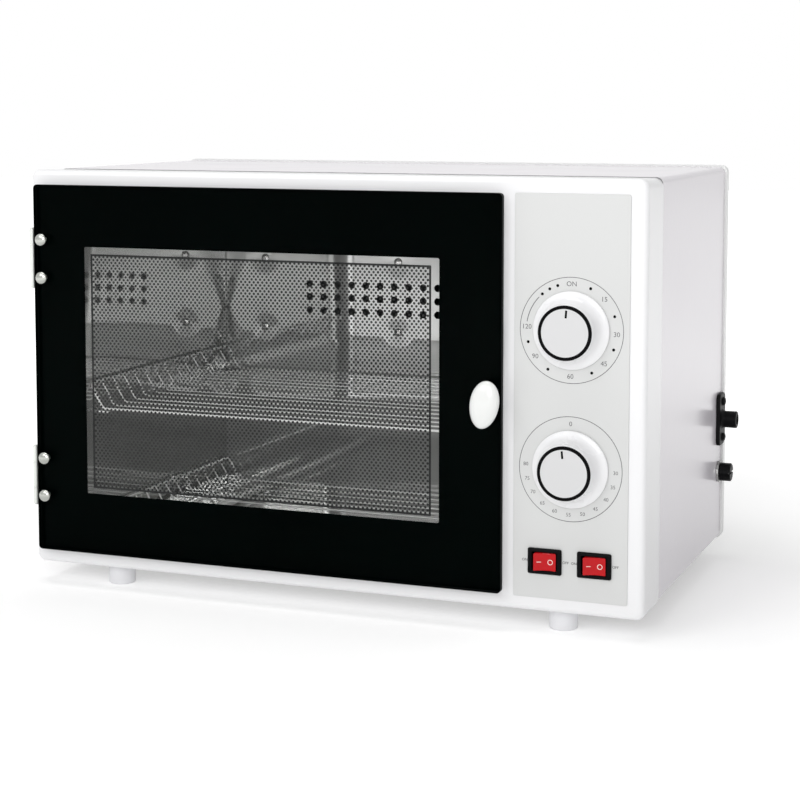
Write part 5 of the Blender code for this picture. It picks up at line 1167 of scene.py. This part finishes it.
LINE_LOW = (-0.1750, 0.0581)
LINE_HIGH = (0.0808, 0.2253)
LINE_WIDE = 0.0014
window_line = printed_ring("window_line_print", outline(LINE_LOW, LINE_HIGH, 0.0006, 3),
                           inset(LINE_LOW, LINE_HIGH, LINE_WIDE, 0.0004, 3), dot_black)
dress(window_line, "door")

dot_tree, dot_in, dot_out = new_tree("window_dots", {
    "Columns": "Int", "Rows": "Int", "Column pitch": "Float", "Row pitch": "Float",
    "Dot radius": "Float", "Middle": "Vector", "Finish": "Material"})

dot_disc = dot_tree.nodes.new("GeometryNodeMeshCircle")
dot_disc.fill_type = "NGON"
dot_disc.inputs["Vertices"].default_value = 8
wire_up(dot_tree, (dot_in.outputs["Dot radius"], dot_disc.inputs["Radius"]))
joined = dot_tree.nodes.new("GeometryNodeJoinGeometry")
for shift in (-0.25, 0.25):
    grid = dot_tree.nodes.new("GeometryNodeMeshGrid")
    offset = dot_tree.nodes.new("ShaderNodeCombineXYZ")
    for count, pitch, axis in (("Columns", "Column pitch", "X"), ("Rows", "Row pitch", "Y")):
        gaps = sum_up(dot_tree, "SUBTRACT", dot_in.outputs[count], 1)
        width = sum_up(dot_tree, "MULTIPLY", dot_in.outputs[pitch], gaps)
        moved_by = sum_up(dot_tree, "MULTIPLY", dot_in.outputs[pitch], shift)
        wire_up(dot_tree, (width, grid.inputs[f"Size {axis}"]),
                (dot_in.outputs[count], grid.inputs[f"Vertices {axis}"]),
                (moved_by, offset.inputs[axis]))
    moved = dot_tree.nodes.new("GeometryNodeTransform")
    spread = dot_tree.nodes.new("GeometryNodeInstanceOnPoints")
    wire_up(dot_tree, (grid.outputs["Mesh"], moved.inputs["Geometry"]),
            (offset.outputs["Vector"], moved.inputs["Translation"]),
            (moved.outputs["Geometry"], spread.inputs["Points"]),
            (dot_disc.outputs["Mesh"], spread.inputs["Instance"]),
            (spread.outputs["Instances"], joined.inputs["Geometry"]))
stood_up = dot_tree.nodes.new("GeometryNodeTransform")
stood_up.inputs["Rotation"].default_value = (math.radians(90), 0, 0)
dots_real = dot_tree.nodes.new("GeometryNodeRealizeInstances")
dots_inked = dot_tree.nodes.new("GeometryNodeSetMaterial")
wire_up(dot_tree, (joined.outputs["Geometry"], stood_up.inputs["Geometry"]),
        (dot_in.outputs["Middle"], stood_up.inputs["Translation"]),
        (stood_up.outputs["Geometry"], dots_real.inputs["Geometry"]),
        (dots_real.outputs["Geometry"], dots_inked.inputs["Geometry"]),
        (dot_in.outputs["Finish"], dots_inked.inputs["Material"]),
        (dots_inked.outputs["Geometry"], dot_out.inputs["Geometry"]))
dots = raw_object("window_dots", bmesh.new(), dot_black)
line_middle = ((LINE_LOW[0] + LINE_HIGH[0]) / 2, (LINE_LOW[1] + LINE_HIGH[1]) / 2)
grow(dots, dot_tree, {
    "Columns": 79, "Rows": 42, "Column pitch": 0.0032, "Row pitch": 0.00394,
    "Dot radius": 0.00091, "Finish": dot_black,
    "Middle": at(line_middle[0], PRINT_FRONT + 0.0001, line_middle[1])})
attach(dots, "door")

# Door pull. A white egg-shaped moulding on a narrower foot, leaning to the right, held through
# the glass by one screw from inside.
pull_white = paint("pull_white", (0.79, 0.80, 0.785), 0.22, Coat_Weight=0.3, Coat_Roughness=0.06)
add_variation(pull_white, 60.0, 0.18, 0.28)
PULL_TILT = math.radians(-10)
PULL_REACH = 0.014
PULL_HALF = (0.0098, 0.0159)
PULL_WAIST, PULL_WIDEST = 0.25, 0.62
FOOT_SIZE, WAIST_SIZE = 0.62, 0.68
PULL_SCREW_RADIUS, PULL_SCREW_DEEP = 0.002, 0.0093
pull_base = GLASS_FRONT - 0.0003


def pull_size(share):
    """The pull's size, as a share of its widest, from its foot to its tip."""
    if share < PULL_WAIST:
        return FOOT_SIZE + (WAIST_SIZE - FOOT_SIZE) * share / PULL_WAIST
    if share < PULL_WIDEST:
        swell = math.radians(90 * (share - PULL_WAIST) / (PULL_WIDEST - PULL_WAIST))
        return WAIST_SIZE + (1 - WAIST_SIZE) * math.sin(swell) ** 1.3
    return math.sqrt(max(0.0, 1 - ((share - PULL_WIDEST) / (1 - PULL_WIDEST)) ** 2.2))


loops = []
for step in range(25):
    size = pull_size(step / 24)
    points = []
    for index in range(64):
        turn = math.tau * index / 64
        across = PULL_HALF[0] * math.cos(turn) * (1 + 0.05 * math.sin(turn))
        points.append((HANDLE[0] + size * across, HANDLE[1] + size * PULL_HALF[1] * math.sin(turn)))
    loops.append(lay("Y", pull_base - PULL_REACH * step / 24,
                     turned(points, HANDLE, PULL_TILT) if size > 0 else [HANDLE]))
mesh = bmesh.new()
skin(mesh, loops)
pull = raw_object("door_pull", mesh, pull_white)
mesh = bmesh.new()
rod(mesh, "Y", HANDLE, PULL_SCREW_RADIUS, pull_base - PULL_SCREW_DEEP, pull_base + 0.002, 24)
cut(pull, raw_object("cutter", mesh))
dress(pull, "door", ["door_handle"], 45)

# Hinges. Plated steel butt hinges with three knuckles on a pin. The door leaf is clamped to the
# glass by two domed screws, and the frame leaf lies on the bezel behind it.
hinge_plate = paint("hinge_plate", (0.70, 0.72, 0.69), 0.30, 1.0)
add_variation(hinge_plate, 160.0, 0.24, 0.38)
add_relief(hinge_plate, 600.0, 0.00003)
screw_cap = paint("screw_cap_steel", (0.42, 0.43, 0.40), 0.22, 1.0)
add_variation(screw_cap, 260.0, 0.16, 0.28)
CAP_SEAT = GLASS_FRONT - 0.0003
DOME_RADIUS, DOME_RIM, DOME_CROWN = 0.0045, 0.0003, 0.0023
SHANK_RADIUS = 0.0015
SHANK_END = -0.0021
cap_profile = [(0, SHANK_END), (SHANK_RADIUS, SHANK_END), (SHANK_RADIUS, CAP_SEAT),
               (DOME_RADIUS - 0.00015, CAP_SEAT)]
for step in range(10):
    turn = math.radians(9 * step)
    cap_profile.append((DOME_RADIUS * math.cos(turn),
                        CAP_SEAT - DOME_RIM - DOME_CROWN * math.sin(turn)))
cap_profile.append((0, CAP_SEAT - DOME_RIM - DOME_CROWN))
for name, middle in HINGE_ZS.items():
    for part in ("hinge_frame_leaf", "hinge_door_leaf", "hinge_pin"):
        keep(f"{name}_{part}", hinge_plate)
    for end, rise in (("top", HINGE_SCREW_RISE), ("bottom", -HINGE_SCREW_RISE)):
        mesh = bmesh.new()
        turn_profile(mesh, "Y", (HINGE_X, middle + rise), cap_profile, 40)
        dress(raw_object(f"{name}_hinge_cap_{end}", mesh, screw_cap), "door",
              [f"{name}_hinge_screw_{end}"], 45)

# Seal and catch. A black rubber bead pressed on the bezel round the mouth, and a small black
# magnet block beside it that holds the closed door by its strike plate.
seal_rubber = paint("seal_rubber", (0.02, 0.02, 0.02), 0.7)
add_relief(seal_rubber, 800.0, 0.0001)
keep("door_gasket", seal_rubber)
keep("magnet_catch", housing_black)

# Mains fittings. A black moulded gland, its flange held by two screws and its nozzle growing out of
# it in a soft round, and a nickel fuse holder with a slotted black cap. Both sit at the rear of
# the right side.
fitting_black = paint("fitting_black", (0.003, 0.003, 0.0035), 0.42, Specular_IOR_Level=0.08)
add_variation(fitting_black, 90.0, 0.36, 0.50)
add_relief(fitting_black, 1000.0, 0.00005)
bright_nickel = paint("bright_nickel", (0.42, 0.42, 0.41), 0.42, 0.8)
add_variation(bright_nickel, 200.0, 0.36, 0.48)
for node in ("gland_screw_top", "gland_screw_bottom", "fuse_cap"):
    keep(node, fitting_black)
keep("fuse_holder", bright_nickel)
FLANGE_SEAT = COVER_HALF + 0.0003
FLANGE_FACE = FLANGE_SEAT + 0.0028
FLANGE_HALF = (0.010, 0.0195)
FLANGE_CORNER = 0.005
NOZZLE_TIP = FLANGE_FACE + 0.0110
NOZZLE_FOOT = 0.0086
NOZZLE_RADIUS = 0.0063
BORE_RADIUS = 0.0035
low, high = around((FITTING_Y, GLAND_Z), FLANGE_HALF)
mesh = bmesh.new()
skin(mesh, [lay("X", FLANGE_SEAT, outline(low, high, FLANGE_CORNER)),
            lay("X", FLANGE_FACE - 0.0009, outline(low, high, FLANGE_CORNER)),
            lay("X", FLANGE_FACE - 0.0003, inset(low, high, 0.0003, 0.0047)),
            lay("X", FLANGE_FACE, inset(low, high, 0.0010, 0.0040))])
nozzle = [(0, FLANGE_SEAT + 0.0006), (NOZZLE_FOOT, FLANGE_SEAT + 0.0006),
          (NOZZLE_FOOT, FLANGE_FACE)]
for step in range(1, 7):
    turn = math.radians(15 * step)
    nozzle.append((0.0084 - 0.0022 * math.sin(turn), FLANGE_FACE + 0.0024 * (1 - math.cos(turn))))
nozzle += [(NOZZLE_RADIUS, NOZZLE_TIP - 0.0014), (NOZZLE_RADIUS, NOZZLE_TIP - 0.0007),
           (0.0060, NOZZLE_TIP - 0.0002), (0.0055, NOZZLE_TIP), (0.0038, NOZZLE_TIP),
           (BORE_RADIUS, NOZZLE_TIP - 0.0004), (BORE_RADIUS, FLANGE_SEAT + 0.0010),
           (0, FLANGE_SEAT + 0.0010)]
turn_profile(mesh, "X", (FITTING_Y, GLAND_Z), nozzle, 64)
gland = raw_object("gland_moulding", mesh, fitting_black)
dress(gland, "cabinet", ["gland_plate"])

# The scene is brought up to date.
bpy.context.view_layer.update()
